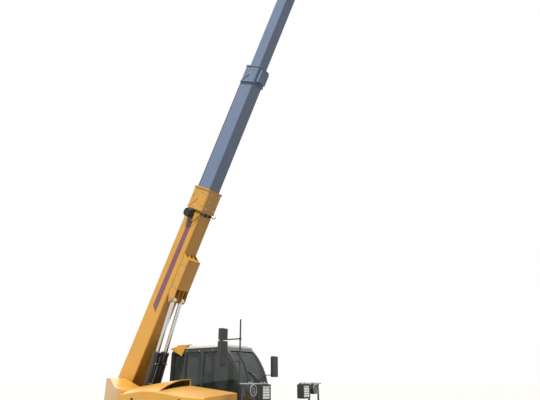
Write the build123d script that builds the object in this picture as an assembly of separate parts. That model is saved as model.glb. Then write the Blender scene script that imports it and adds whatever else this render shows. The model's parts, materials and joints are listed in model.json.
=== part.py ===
"""A telehandler: a 14 m class machine on four steered wheels, its three-section boom raised and run out.

Millimetres. X runs forward, Y to the machine's left and Z up. The origin lies on the ground, under the
middle of the whole machine as it stands with the boom raised.
"""

from build123d import *
from math import atan2, cos, degrees, hypot, radians, sin, sqrt
import os

os.makedirs("parts", exist_ok=True)

# Fits and gaps
shaft_fit = 0.05  # a shaft in its bore, on the radius
running_gap = 0.3  # sliding pads and thrust faces
part_gap = 5.0  # between pieces that pass each other
seat_gap = 0.3  # a curved seat on the piece that carries it

# Wheels and axles
wheelbase = 2880.0
rear_axle_x = -2430.0
front_axle_x = rear_axle_x + wheelbase
track = 1970.0
wheel_y = track / 2
tyre_radius = 628.0  # out to the lugs' tips
axle_z = tyre_radius
tyre_width = 400.0
lug_height = 34.0
lug_count = 19  # on each half of the tread
lug_angle = 24.0
lug_length_half = 21.0  # half a lug's width along the tread
rim_seat_radius = 305.0
rim_width = 330.0
rim_wall = 14.0
rim_flange = 24.0
rim_well = 34.0
disc_offset = 45.0  # outward from the tyre's middle
disc_thickness = 18.0
hub_radius = 165.0
hub_end_radius = 105.0
hub_end_reach = 150.0  # outward from the tyre's middle
spindle_radius = 70.0
kingpin_offset = 255.0  # inboard of the tyre's middle
kingpin_y = wheel_y - kingpin_offset
kingpin_radius = 30.0
kingpin_boss_radius = 62.0
kingpin_boss_height = 230.0
knuckle_arm_thickness = 42.0
knuckle_web_inner = 84.0  # from the kingpin's axis
knuckle_web_outer = 128.0
axle_tube_radius = 78.0
differential_radius = 185.0
differential_half_width = 130.0
axle_pad_half = 110.0  # along X
axle_pad_width = 90.0
wheel_clearance = 162.0  # from a wheel's tread to the bodywork, for the steered tyre
wheel_room = tyre_radius + wheel_clearance

# Chassis, with heights from the axles' line
chassis_half_width = 300.0
chassis_plate = 30.0
chassis_inner = chassis_half_width - chassis_plate
chassis_bottom = axle_z - 68.0
chassis_top = axle_z + 472.0
chassis_rear_x = rear_axle_x - 1130.0
chassis_front_x = front_axle_x + 775.0
chassis_corner = 30.0
axle_arch_top = axle_z + 152.0
axle_arch_half = 260.0
boom_pivot_x = rear_axle_x - 730.0
boom_pivot_z = axle_z + 978.0
boom_pin_radius = 45.0
tower_head_radius = 185.0
lift_pin_x = rear_axle_x - 250.0
lift_pin_z = axle_z + 322.0
lift_pin_radius = 35.0
pin_end = 30.0  # how far the boom's pin stands out of the tower
counterweight_rear_x = rear_axle_x - 1350.0
counterweight_front_x = rear_axle_x - 800.0
counterweight_half_width = wheel_y + 25.0
counterweight_bottom = axle_z - 28.0
counterweight_height = 550.0
counterweight_top = counterweight_bottom + counterweight_height
counterweight_edge = 35.0
tow_pin_radius = 16.0
tow_jaw_depth = 130.0
tow_jaw_mouth = 60.0
tail_lamp_inner = 720.0  # across the machine
tail_lamp_width = 240.0
tail_lamp_height = 110.0
tail_lamp_depth = 30.0

# Boom, as it stands: the sections' places are counted along the boom from its pivot
boom_angle = 63.45
base_height = 468.0
base_width = 360.0
base_wall = 10.0
base_corner = 30.0
base_rear = -300.0
base_end = 4600.0
base_head_length = 500.0
base_head_proud = 42.0
base_stiffener_end = 630.0
base_stiffener = 24.0
pivot_boss_radius = 100.0
mid_height = 376.0
mid_width = 322.0
mid_wall = 8.0
mid_corner = 24.0
mid_rear = 3010.0
mid_end = 7560.0
mid_head_length = 400.0
mid_head_proud = 36.0
mid_sensor_depth = 100.0  # the block below the middle section's head
tip_height = 300.0
tip_width = 264.0
tip_wall = 8.0
tip_corner = 20.0
tip_rear = 5970.0
tip_end = 10520.0
head_ring = 30.0
head_band_share = 0.62  # how far the band between the rings stands out, as a share of theirs
head_rib = 14.0
head_rib_proud = 34.0
pad_length = 110.0
rail_width = 26.0
reel_radius = 92.0
reel_depth = 150.0
reel_case_depth = 60.0

# Lift cylinders
rod_eye_s = 2180.0
rod_eye_drop = 146.0  # below the base section
rod_eye_n = -base_height / 2 - rod_eye_drop
lift_cylinder_y = 110.0
lift_barrel_radius = 80.0
lift_barrel_bore = 56.0
lift_barrel_length = 1480.0
lift_rod_radius = 42.0
lift_rod_length = 1360.0
lift_eye_radius = 60.0
lift_eye_width = 88.0
lift_foot_width = 110.0
bracket_start = 2330.0
bracket_end = 3090.0
bracket_depth = 200.0
bracket_plate = 16.0

# Boom head, fork carriage and forks
neck_plate = 25.0
neck_half_width = tip_width / 2 - 12.0
neck_reach = 350.0  # along the boom, past its end
neck_pin_s = tip_end + neck_reach
neck_pin_n = -800.0
neck_pin_radius = 35.0
neck_eye_radius = 85.0
tilt_anchor_s = tip_end + 70.0
tilt_anchor_n = tip_height / 2 - 20.0
tilt_pin_radius = 25.0
tilt_ear_radius = 180.0
tilt_ear_lean = 15.0  # forward of upright, while the carriage is level
tilt_barrel_radius = 48.0
tilt_barrel_bore = 36.0
tilt_barrel_length = 640.0
tilt_rod_radius = 28.0
tilt_rod_length = 570.0
tilt_eye_radius = 42.0
tilt_eye_width = 50.0
tilt_lug_plate = 16.0
carriage_back = 155.0  # its rear face, ahead of the pin
carriage_bar = 45.0
carriage_half_width = 520.0
carriage_top = 340.0
carriage_bottom = -400.0
carriage_post = 50.0
fork_rail = 26.0  # the hook rail ahead of the carriage's bars
fork_length = 1200.0
fork_width = 125.0
fork_thickness = 45.0
fork_y = 290.0
fork_drop = 10.0  # below the carriage

# Cab, between the boom's room and the left wheels
boom_room = 15.0
cab_right = base_width / 2 + base_head_proud + boom_room
cab_left = wheel_y + 129.0
cab_rear = rear_axle_x + 280.0
cab_floor_rear = rear_axle_x + wheel_room
cab_floor_front = front_axle_x - wheel_room
cab_front = front_axle_x - 700.0  # the windscreen's foremost place
cab_bottom = axle_z + 272.0
body_floor = axle_z + wheel_room - 33.0  # underside of all bodywork over the wheels
cab_top = body_floor + 1015.0
cab_wall = 60.0
cab_edge = 24.0
roof_top = cab_top + 73.0
roof_lip = 40.0
roof_edge = 14.0
rear_slope_run = 60.0  # the sloped upper corner at the cab's rear
rear_slope_drop = 70.0
screen_top_setback = 440.0
screen_bulge_setback = 148.0
screen_bulge_drop = 340.0
screen_chin_drop = 760.0
screen_foot_setback = 8.0
screen_foot_drop = 1000.0
front_step_drop = 1250.0
rear_pillar_x = cab_rear + 406.0
door_pillar_x = cab_rear + 887.0
pillar_half = 28.0
window_border = 70.0
window_corner = 38.0
side_sill_z = body_floor - 85.0
rear_sill_z = body_floor + 115.0
glass_thickness = 6.0
glass_inset = 14.0
door_gap = 5.0
door_border = 40.0
door_bottom = cab_bottom + 60.0
door_top = cab_top - 55.0
door_frame_width = 70.0
door_sill_z = body_floor - 205.0
door_hinge_radius = 13.0
door_hinge_reach = 14.0
door_hinge_height = 60.0

# Hood and engine bay on the right
bay_rear = rear_axle_x + wheel_room
bay_front = front_axle_x - wheel_room
hood_rear = rear_axle_x + 470.0
hood_front = front_axle_x - 355.0
hood_outer = wheel_y + 135.0
hood_inner = chassis_half_width + 12.0
hood_floor = body_floor
hood_parting = hood_floor + 75.0
hood_wall = 22.0
hood_shoulder = 34.0
hood_shoulder_drop = 24.0
hood_step_x = front_axle_x - 1450.0
lid_wall = 14.0
lid_hinge_x = hood_rear - 14.0
lid_hinge_z = hood_parting + 200.0
lid_hinge_radius = 13.0
lid_hinge_half = 40.0  # length of each hinge's lid barrel, either way from its middle
lid_hinge_places = (-620.0, -400.0)  # across the machine
intake_slat = 8.0
intake_pitch = 62.0
intake_slots = 9
intake_depth = 16.0
intake_rail = 12.0
vent_slot = 26.0
vent_pitch = 52.0
vent_margin = 90.0
vent_border = 20.0  # how far the grille's frame laps over the bay's wall
cowl_gap = 8.0

# Fenders
fender_radius = wheel_room
fender_thickness = 14.0
fender_inner_y = wheel_y - tyre_width / 2 - 15.0
fender_outer_y = wheel_y + tyre_width / 2 - 20.0
fender_half_angle = 66.0
fender_lip = 22.0
fender_lip_width = 12.0

# Lamps and mirrors on the front fenders
lamp_x = front_axle_x + 400.0
lamp_bar_z = axle_z + 1107.0
lamp_bar = 24.0
lamp_bar_inner = 480.0
lamp_width = 230.0
lamp_height = 235.0
lamp_depth = 130.0
round_lamp_radius = 85.0
round_lamp_y = 930.0
mirror_pole_radius = 12.0
mirror_pole_top = axle_z + 2042.0
mirror_depth = 70.0
mirror_width = 184.0
mirror_height = 385.0
mirror_z = axle_z + 1362.0
spotter_height = 180.0
mirror_arm = 18.0
mirror_reach = 410.0
mirror_foot = 108.0  # back from the cab's front, on the band between its rim and the door

# Stabilizers
clevis_plate = 20.0
stabilizer_thickness = 100.0
stabilizer_x = chassis_front_x + clevis_plate + part_gap + stabilizer_thickness / 2
stabilizer_pin_y = 240.0
stabilizer_pin_z = chassis_bottom + 60.0
stabilizer_pin_radius = 28.0
stabilizer_stow_angle = 12.0
stabilizer_travel = 52.0
stabilizer_length = 880.0
stabilizer_mount_y = 180.0
stabilizer_mount_z = chassis_bottom + 400.0
stabilizer_mount_radius = 22.0
stabilizer_eye_s = 560.0
stabilizer_eye_n = 95.0
stabilizer_barrel_radius = 45.0
stabilizer_barrel_length = 430.0
stabilizer_rod_radius = 24.0
stabilizer_rod_length = 480.0


def block(x, y, z):
    """A box between two limits on each axis."""
    size = [abs(pair[1] - pair[0]) for pair in (x, y, z)]
    return Pos(sum(x) / 2, sum(y) / 2, sum(z) / 2) * Box(*size)


def soft_block(x, y, z, radius):
    """A box with all its edges rounded."""
    shape = block(x, y, z)
    return fillet(shape.edges(), radius)


def profile(points):
    """A closed outline in the X-Z plane, as a face at Y = 0."""
    return make_face(Polyline([(x, 0, z) for x, z in points], close=True))


def eased(points, radius):
    """A closed outline in the X-Z plane with every corner rounded."""
    face = profile(points)
    return fillet(face.vertices(), radius)


def slab(face, y0, y1):
    """The face of an X-Z outline, made a solid between two places across the machine."""
    return extrude(Pos(0, y0, 0) * face, amount=y1 - y0, dir=(0, 1, 0))


def turned(points):
    """A solid of revolution about the Y axis, from an outline of places along Y and radii."""
    return revolve(make_face(Polyline([(0, y, z) for y, z in points], close=True)), Axis.Y)


def bar_x(radius, x0, x1, y, z):
    return Pos((x0 + x1) / 2, y, z) * Rot(0, 90, 0) * Cylinder(radius, abs(x1 - x0))


def bar_y(radius, y0, y1, x, z):
    return Pos(x, (y0 + y1) / 2, z) * Rot(90, 0, 0) * Cylinder(radius, abs(y1 - y0))


def bar_z(radius, z0, z1, x, y):
    return Pos(x, y, (z0 + z1) / 2) * Cylinder(radius, abs(z1 - z0))


def bent_bar(width, height, corner, s0, s1):
    """A bar along X whose section is a rectangle with rounded corners."""
    section = extrude(RectangleRounded(height, width, corner), amount=s1 - s0)
    return Pos(s0, 0, 0) * Rot(0, 90, 0) * section


def mirrored(shape):
    """The same piece on the other side of the machine."""
    return mirror(shape, about=Plane.XZ)


def on_side(shape, side):
    """A piece made on the left, or its mirror image on the right."""
    return shape if side > 0 else mirrored(shape)


def save(name, *shapes):
    solids = [solid for shape in shapes for solid in shape.solids()]
    export_step(Compound(solids), f"parts/{name}.step")


def span(start, end):
    return hypot(end[0] - start[0], end[1] - start[1])


def along(start, end, shape):
    """Lays a piece made along X from the origin between two places in the X-Z plane."""
    angle = degrees(atan2(end[1] - start[1], end[0] - start[0]))
    return Pos(start[0], 0, start[1]) * Rot(0, -angle, 0) * shape


def on_boom(shape):
    """Turns a piece made along X from the boom's pivot up to where the boom stands."""
    return Pos(boom_pivot_x, 0, boom_pivot_z) * Rot(0, -boom_angle, 0) * shape


def boom_point(s, n):
    """A place on the raised boom, along it and above its middle line, in the machine's X and Z."""
    a = radians(boom_angle)
    return (
        boom_pivot_x + s * cos(a) - n * sin(a),
        boom_pivot_z + s * sin(a) + n * cos(a),
    )


def tyre():
    """One tyre about the Y axis: a crowned carcass and two rows of slanted lugs."""
    half = tyre_width / 2
    carcass = tyre_radius - lug_height
    bead = rim_seat_radius + seat_gap
    bead_half = rim_width / 2 - rim_flange
    body = turned([
        (-bead_half, bead), (-half + 18, bead + 95), (-half, bead + 150), (-half + 14, carcass - 60),
        (-half + 70, carcass - 6), (0, carcass), (half - 70, carcass - 6), (half - 14, carcass - 60),
        (half, bead + 150), (half - 18, bead + 95), (bead_half, bead),
    ])
    crown = tyre_radius - 7
    lug_face = make_face(
        Polyline(
            [(0, -12, carcass - 30), (0, -12, crown), (0, half - 60, crown - 4), (0, half - 8, crown - 34),
             (0, half - 2, carcass - 66), (0, half - 60, carcass - 30)],
            close=True,
        )
    )
    lug = extrude(lug_face, amount=lug_length_half, both=True, dir=(1, 0, 0))
    middle = half / 2
    lug = Pos(0, middle, 0) * Rot(0, 0, lug_angle) * Pos(0, -middle, 0) * lug
    pitch = 360 / lug_count
    lugs = []
    for i in range(lug_count):
        lugs.append(Rot(0, i * pitch, 0) * lug)
        lugs.append(Rot(0, (i + 0.5) * pitch, 0) * mirror(lug, about=Plane.XZ))
    return body.fuse(*lugs)


def rim():
    """One rim about the Y axis with its disc and the planetary hub's drum, the outside of it at +Y."""
    half = rim_width / 2
    seat, well = rim_seat_radius, rim_seat_radius - rim_well
    lip = seat + rim_flange
    shape = turned([
        (-half, lip), (-half + 10, lip), (-half + 16, seat), (-half + 70, seat), (-half + 92, well),
        (half - 92, well), (half - 70, seat), (half - 16, seat), (half - 10, lip), (half, lip),
        (half, seat + 6),
        (half - 6, seat - rim_wall), (half - 64, seat - rim_wall), (half - 84, well - rim_wall),
        (-half + 84, well - rim_wall), (-half + 64, seat - rim_wall), (-half + 6, seat - rim_wall),
        (-half, seat + 6),
    ])
    drum = well - rim_wall + 4
    inner, end = disc_offset, hub_end_reach
    return shape + turned([
        (-60, spindle_radius + shaft_fit), (-60, hub_radius - 20), (inner - 40, hub_radius),
        (inner - 6, hub_radius),
        (inner - 6, drum), (inner + disc_thickness - 6, drum), (inner + disc_thickness, hub_radius + 60),
        (inner + disc_thickness, hub_end_radius + 16), (end - 40, hub_end_radius),
        (end - 12, hub_end_radius - 6),
        (end, hub_end_radius - 34), (end, 0), (end - 70, 0), (end - 70, spindle_radius + shaft_fit),
    ])


def knuckle():
    """One steering knuckle on the left, about its kingpin at the origin: two arms, a web and the spindle."""
    top = kingpin_boss_height / 2 + running_gap
    arm, boss = knuckle_arm_thickness, kingpin_boss_radius + 12
    shape = None
    for low in (top, -top - arm):
        plate = bar_z(boss, low, low + arm, 0, 0)
        plate += block((-boss, boss), (0, knuckle_web_outer), (low, low + arm))
        shape = plate if shape is None else shape + plate
    shape += block((-90, 90), (knuckle_web_inner, knuckle_web_outer), (-top - arm, top + arm))
    shape += bar_z(kingpin_radius, -top - arm - 8, top + arm + 8, 0, 0)
    shape += bar_y(hub_radius - 45, knuckle_web_outer, kingpin_offset - 66, 0, 0)
    return shape + bar_y(spindle_radius, knuckle_web_outer, kingpin_offset + hub_end_reach - 76, 0, 0)


def axle():
    """One drive axle about its own middle: housing, tubes, kingpin bosses and the pads under the chassis."""
    shape = bar_y(axle_tube_radius, -kingpin_y + 20, kingpin_y - 20, 0, 0)
    far = differential_half_width + 60
    near = differential_half_width - 10
    shape += turned([
        (-far, 0), (-far, axle_tube_radius + 20), (-near, differential_radius), (near, differential_radius),
        (far, axle_tube_radius + 20), (far, 0),
    ])
    shape += bar_x(axle_tube_radius + 14, -differential_radius - 65, differential_radius + 65, 0, 0)
    boss = kingpin_boss_height / 2
    pad_y = chassis_half_width - chassis_plate / 2
    for side in (-1, 1):
        shape += bar_z(kingpin_boss_radius, -boss, boss, 0, side * kingpin_y)
        shape += block((-axle_pad_half, axle_pad_half),
                       (side * (pad_y - axle_pad_width / 2), side * (pad_y + axle_pad_width / 2)),
                       (0, axle_arch_top - axle_z))
    for side in (-1, 1):
        shape -= bar_z(kingpin_radius + shaft_fit, -boss - 1, boss + 1, 0, side * kingpin_y)
    return shape


def drive_line():
    """The transfer box and the two propeller shafts between the axles, seen from below."""
    box_x = (rear_axle_x + front_axle_x) / 2
    box_low = chassis_bottom - 130
    shape = soft_block((box_x - 210, box_x + 210), (-150, 150), (box_low, chassis_bottom), 18)
    for side in (-1, 1):
        start = (box_x + side * 200, box_low + 65)
        end = (box_x + side * (wheelbase / 2 - differential_radius - 65), axle_z)
        length = span(start, end)
        shaft = bar_x(38, 0, length, 0, 0) + bar_x(58, 10, 90, 0, 0)
        shaft += bar_x(58, length - 110, length - 20, 0, 0)
        shape += along(start, end, shaft)
        shape -= block((end[0], end[0] + side * 100), (-100, 100), (axle_z - 100, axle_z + 100))
    return shape


def chassis_plates():
    """The two long plates of the frame, with the tower's round heads for the boom's pin."""
    arch, low = axle_arch_half, chassis_bottom - 60
    outline = eased([
        (chassis_rear_x, chassis_bottom + 140), (chassis_rear_x, chassis_top + 80),
        (chassis_rear_x + 140, chassis_top + 130), (boom_pivot_x - tower_head_radius + 10, boom_pivot_z),
        (boom_pivot_x + tower_head_radius - 10, boom_pivot_z), (boom_pivot_x + 520, chassis_top + 80),
        (rear_axle_x + 130, chassis_top), (front_axle_x - 150, chassis_top - 30),
        (chassis_front_x, chassis_top - 90), (chassis_front_x, low), (front_axle_x + arch + 120, low),
        (front_axle_x + arch, axle_arch_top), (front_axle_x - arch, axle_arch_top),
        (front_axle_x - arch - 150, chassis_bottom), (rear_axle_x + arch + 150, chassis_bottom),
        (rear_axle_x + arch, axle_arch_top), (rear_axle_x - arch, axle_arch_top),
        (rear_axle_x - arch - 90, chassis_bottom + 80),
    ], chassis_corner)
    plates = None
    for y0 in (-chassis_half_width, chassis_inner):
        plate = slab(outline, y0, y0 + chassis_plate)
        plate += bar_y(tower_head_radius, y0, y0 + chassis_plate, boom_pivot_x, boom_pivot_z)
        plates = plate if plates is None else plates + plate
    return plates


def stabilizer_clevis():
    """The two plates across the front, with the pins that carry the legs and their cylinders."""
    low, high = stabilizer_pin_z - 100, stabilizer_mount_z + 70
    foot = stabilizer_pin_y + 90
    last = stabilizer_x + stabilizer_thickness / 2 + part_gap
    shape = None
    for x0 in (chassis_front_x, last):
        face = make_face(Polyline([
            (x0, -foot, low), (x0, -foot, stabilizer_pin_z + 80), (x0, -stabilizer_mount_y - 70, high),
            (x0, stabilizer_mount_y + 70, high), (x0, foot, stabilizer_pin_z + 80), (x0, foot, low),
        ], close=True))
        plate = extrude(fillet(face.vertices(), chassis_corner), amount=clevis_plate, dir=(1, 0, 0))
        shape = plate if shape is None else shape + plate
    pins = (
        # radius, place across, height
        (stabilizer_pin_radius, stabilizer_pin_y, stabilizer_pin_z),
        (stabilizer_mount_radius, stabilizer_mount_y, stabilizer_mount_z),
    )
    for radius, y, z in pins:
        for side in (-1, 1):
            shape += bar_x(radius, chassis_front_x, last + clevis_plate + 8, side * y, z)
    return shape


def chassis_frame():
    """The welded frame: plates, cross-members, the boom's and the cylinders' pins and the front clevis."""
    shape = chassis_plates()
    raised = chassis_bottom + 80
    middle = (rear_axle_x + front_axle_x) / 2
    members = (
        # first and last place along X, lowest and highest Z
        (rear_axle_x + 530, rear_axle_x + 670, raised, raised + 140),
        (middle - 160, middle + 160, chassis_bottom, chassis_bottom + 40),
        (front_axle_x - 650, front_axle_x - 510, raised, raised + 140),
        (chassis_front_x - 225, chassis_front_x, chassis_bottom - 60, chassis_top - 120),
        (chassis_rear_x + 20, chassis_rear_x + 80, chassis_bottom + 140, chassis_top),
    )
    for x0, x1, z0, z1 in members:
        shape += block((x0, x1), (-chassis_inner - 1, chassis_inner + 1), (z0, z1))
    pins = ((boom_pin_radius, pin_end, boom_pivot_x, boom_pivot_z),
            (lift_pin_radius, 20, lift_pin_x, lift_pin_z))
    for radius, proud, x, z in pins:
        shape += bar_y(radius, -chassis_half_width - proud, chassis_half_width + proud, x, z)
    return shape + stabilizer_clevis()


def counterweight():
    """The cast weight across the tail, with the tow jaw below and recesses for the tail lamps."""
    x0, x1 = counterweight_rear_x, counterweight_front_x
    low, top, half = counterweight_bottom, counterweight_top, counterweight_half_width
    casting = slab(profile([
        (x1, low + 80), (x1, top), (x0 + 60, top), (x0, top - 60), (x0, low + 60), (x0 + 60, low),
        (x1 - 140, low),
    ]), -half, half)
    casting = fillet(casting.edges(), counterweight_edge)
    shape = casting - block((chassis_rear_x, x1 + 1), (-chassis_half_width, chassis_half_width),
                            (0, top + 1))
    for side in (-1, 1):
        shape -= block((x0 - 1, x0 + tail_lamp_depth), *tail_lamp_place(side, 0))
    jaw = low - tow_jaw_depth
    middle = jaw + (tow_jaw_depth - tow_jaw_mouth) / 2
    shape += block((x0 + 20, x0 + 160), (-70, 70), (jaw, low + 20))
    shape -= block((x0 + 19, x0 + 130), (-80, 80), (middle, middle + tow_jaw_mouth))
    return shape - bar_z(tow_pin_radius, jaw - 1, low - 20, x0 + 70, 0)


def tail_lamp_place(side, gap):
    """Limits across and up for a tail lamp's recess, or for the lamp that sits in it."""
    z = counterweight_top - 220
    y0, y1 = tail_lamp_inner + gap, tail_lamp_inner + tail_lamp_width - gap
    return (side * y0, side * y1), (z + gap, z + tail_lamp_height - gap)


def tail_lamps():
    """The lamp units in the tail's recesses, with a groove between their fields."""
    lamps = []
    x0 = counterweight_rear_x
    for side in (-1, 1):
        across, up = tail_lamp_place(side, 4)
        lamp = soft_block((x0 + 4, x0 + tail_lamp_depth), across, up, 3)
        for share in (1 / 3, 2 / 3):
            y = across[0] + (across[1] - across[0]) * share
            lamp -= block((x0, x0 + 10), (y - 3, y + 3), (up[0] - 1, up[1] + 1))
        lamps.append(lamp)
    return lamps


def tube(width, height, wall, corner, s0, s1):
    """A boom section along X with bent corners, open at both ends."""
    outer = bent_bar(width, height, corner, s0, s1)
    return outer - bent_bar(width - 2 * wall, height - 2 * wall, corner - wall, s0 - 1, s1 + 1)


def inner_pads(width, height, wall, slider_width, slider_height, s0, s1):
    """Four slide pads inside an outer section, a running gap off the section that slides through it."""
    pads = []
    for side in (-1, 1):
        z0, z1 = slider_height / 2 + running_gap, height / 2 - wall
        pads.append(block((s0, s1), (-slider_width * 0.28, slider_width * 0.28), (side * z0, side * z1)))
        y0, y1 = slider_width / 2 + running_gap, width / 2 - wall
        pads.append(block((s0, s1), (side * y0, side * y1), (-slider_height * 0.29, slider_height * 0.29)))
    return pads


def outer_pads(width, height, outer_width, outer_height, outer_wall, s0, s1):
    """Four slide pads on the tail of an inner section, a running gap off the section around it."""
    pads = []
    for side in (-1, 1):
        z0, z1 = height / 2, outer_height / 2 - outer_wall - running_gap
        pads.append(block((s0, s1), (-width * 0.28, width * 0.28), (side * z0, side * z1)))
        y0, y1 = width / 2, outer_width / 2 - outer_wall - running_gap
        pads.append(block((s0, s1), (side * y0, side * y1), (-height * 0.21, height * 0.21)))
    return pads


def head(width, height, corner, proud, s0, s1):
    """The collar at a section's mouth: a rib round each end, a band between and braces across its sides."""
    shape = None
    band = proud * head_band_share
    bands = ((s0, s0 + head_ring, proud), (s0 + head_ring - 1, s1 - head_ring + 1, band),
             (s1 - head_ring, s1, proud))
    for a, b, out in bands:
        ring = bent_bar(width + 2 * out, height + 2 * out, corner + out, a, b)
        shape = ring if shape is None else shape + ring
    shape -= bent_bar(width - 2, height - 2, corner - 1, s0 - 1, s1 + 1)
    low, high = s0 + head_ring, s1 - head_ring
    middle, up = (low + high) / 2, height * 0.36
    braces = (((low, up), (middle, 0)), ((middle, 0), (high, up)), ((low, -up), (middle, 0)))
    for start, end in braces:
        for side in (-1, 1):
            shape += along(start, end, block(
                (-head_rib / 2, span(start, end) + head_rib / 2),
                (side * (width / 2 + band - 1), side * (width / 2 + head_rib_proud)),
                (-head_rib / 2, head_rib / 2)))
    return shape


def lift_bracket():
    """The box below the base section whose cheeks hold the lift rods' pin, along X from the pivot."""
    top, low = -base_height / 2, -base_height / 2 - bracket_depth
    eye = (rod_eye_s, rod_eye_n)
    cheek = profile([
        (eye[0] - 70, eye[1] - 45), (eye[0] + 10, eye[1] - 75), (bracket_start, low),
        (bracket_end - 40, low),
        (bracket_end + 60, top), (bracket_start - 60, top), (eye[0] - 75, eye[1] + 55),
    ])
    gap = lift_eye_width / 2 + part_gap
    outer = lift_cylinder_y + gap + bracket_plate
    shape = block((bracket_start + 70, bracket_end - 40), (-outer, outer), (low, low + 14))
    shape += block((bracket_end - 40, bracket_end - 26), (-outer, outer), (low, top))
    for side in (-1, 1):
        for near in (lift_cylinder_y - gap - bracket_plate, lift_cylinder_y + gap):
            shape += slab(cheek, side * near, side * (near + bracket_plate))
        shape += bar_y(lift_pin_radius + 9, side * (outer - 1), side * (outer + 14), *eye)
    return shape


def boom_base():
    """The yellow outer section with its pivot boss, head, and the bracket for the lift cylinders."""
    shape = tube(base_width, base_height, base_wall, base_corner, base_rear, base_end)
    shape += head(base_width, base_height, base_corner, base_head_proud, base_end - base_head_length,
                  base_end)
    top = base_height / 2
    flat = base_width / 2 - base_corner
    shape += block((base_rear, base_stiffener_end), (-flat, flat), (top - 1, top + base_stiffener))
    boss = chassis_inner - running_gap
    shape += bar_y(pivot_boss_radius, -boss, boss, 0, 0)
    shape -= bar_y(boom_pin_radius + shaft_fit, -boss - 1, boss + 1, 0, 0)
    for pad in inner_pads(base_width, base_height, base_wall, mid_width, mid_height, base_end - pad_length,
                          base_end):
        shape += pad
    shape += bent_bar(base_width, base_height, base_corner, base_rear, base_rear + 12)
    return on_boom(shape + lift_bracket())


def boom_mid():
    """The first run-out section, dark, with its head and the sensor's block below."""
    shape = tube(mid_width, mid_height, mid_wall, mid_corner, mid_rear, mid_end)
    shape += head(mid_width, mid_height, mid_corner, mid_head_proud, mid_end - mid_head_length, mid_end)
    low = -mid_height / 2
    half = mid_width / 2 - 41
    shape += block((mid_end - 350, mid_end - 70), (-half, half), (low - mid_sensor_depth, low + 1))
    for pad in outer_pads(mid_width, mid_height, base_width, base_height, base_wall, mid_rear,
                          mid_rear + pad_length):
        shape += pad
    for pad in inner_pads(mid_width, mid_height, mid_wall, tip_width, tip_height, mid_end - pad_length,
                          mid_end):
        shape += pad
    return on_boom(shape)


def boom_tip():
    """The last section with the boom head that drops to the fork carriage's pin."""
    shape = tube(tip_width, tip_height, tip_wall, tip_corner, tip_rear, tip_end)
    for pad in outer_pads(tip_width, tip_height, mid_width, mid_height, mid_wall, tip_rear,
                          tip_rear + pad_length):
        shape += pad
    top = tip_height / 2
    anchor, pin = (tilt_anchor_s, tilt_anchor_n), (neck_pin_s, neck_pin_n)
    cheek = profile([
        (tip_end - 160, 3 - top), (tip_end - 160, top - 3), (anchor[0] - 60, anchor[1] + 60),
        (anchor[0] + 40, anchor[1] + 60), (anchor[0] + 75, anchor[1] - 30), (pin[0] + 70, pin[1] + 50),
        (pin[0] - 62, pin[1] + 62), (tip_end - 20, -top - 60),
    ])
    inner = neck_half_width - neck_plate
    neck = None
    for y0 in (-neck_half_width, inner):
        side = slab(cheek, y0, y0 + neck_plate) + bar_y(neck_eye_radius, y0, y0 + neck_plate, *pin)
        neck = side if neck is None else neck + side
    back = profile([
        (tip_end - 30, 4 - top), (tip_end - 12, 4 - top), (pin[0] - 145, pin[1] + 260),
        (pin[0] - 162, pin[1] + 260),
    ])
    neck += slab(back, -inner - 1, inner + 1)
    neck -= bar_y(neck_pin_radius + shaft_fit, -neck_half_width - 1, neck_half_width + 1, *pin)
    neck += bar_y(tilt_pin_radius, -neck_half_width - 12, neck_half_width + 12, *anchor)
    return on_boom(shape + neck + bent_bar(tip_width, tip_height, tip_corner, tip_end - 12, tip_end))


def hose_rail():
    """The hose duct along the upper right edge of the middle section."""
    y0 = -mid_width / 2 + mid_corner
    top = mid_height / 2
    return on_boom(block((mid_rear + pad_length, mid_end - mid_head_length), (y0, y0 + rail_width),
                         (top, top + rail_width)))


def cable_reel():
    """The black sensor reel on the right of the base section, near its head."""
    side = -base_width / 2
    s, n = base_end - base_head_length - 120, 40
    reel = block((s - 95, s + 95), (side - reel_case_depth, side), (n - 80, n + 80))
    reel = fillet(reel.edges().filter_by(Axis.Y), 16)
    reel += bar_y(reel_radius, side - reel_depth, side - reel_case_depth + 1, s, n)
    reel -= bar_y(reel_radius - 16, side - reel_depth - 1, side - reel_depth + 10, s, n)
    return on_boom(reel + bar_y(26, side - reel_depth - 6, side - reel_depth + 11, s, n))


lift_pin = (lift_pin_x, lift_pin_z)
rod_eye = boom_point(rod_eye_s, rod_eye_n)


def barrel_along_x(radius, bore, rod_radius, length, eye_radius, eye_width, pin_radius, y):
    """A cylinder's barrel along X from its pin, with its eye, its gland and the bore for the rod."""
    eye = bar_y(eye_radius, y - eye_width / 2, y + eye_width / 2, 0, 0)
    shape = eye + bar_x(radius, eye_radius * 0.6, length, y, 0)
    shape += bar_x(radius + 7, length - 70, length - 10, y, 0)
    shape -= bar_x(bore, eye_radius * 1.6 + 30, length - 60, y, 0)
    shape -= bar_x(rod_radius + shaft_fit, length - 61, length + 1, y, 0)
    return shape - bar_y(pin_radius + shaft_fit, y - eye_width / 2 - 1, y + eye_width / 2 + 1, 0, 0)


def rod_along_x(radius, length, reach, eye_radius, eye_width, y):
    """A cylinder's rod along X, ending in a closed eye at its full reach from the barrel's pin."""
    eye = bar_y(eye_radius, y - eye_width / 2, y + eye_width / 2, reach, 0)
    return eye + bar_x(radius, reach - length, reach, y, 0)


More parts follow.
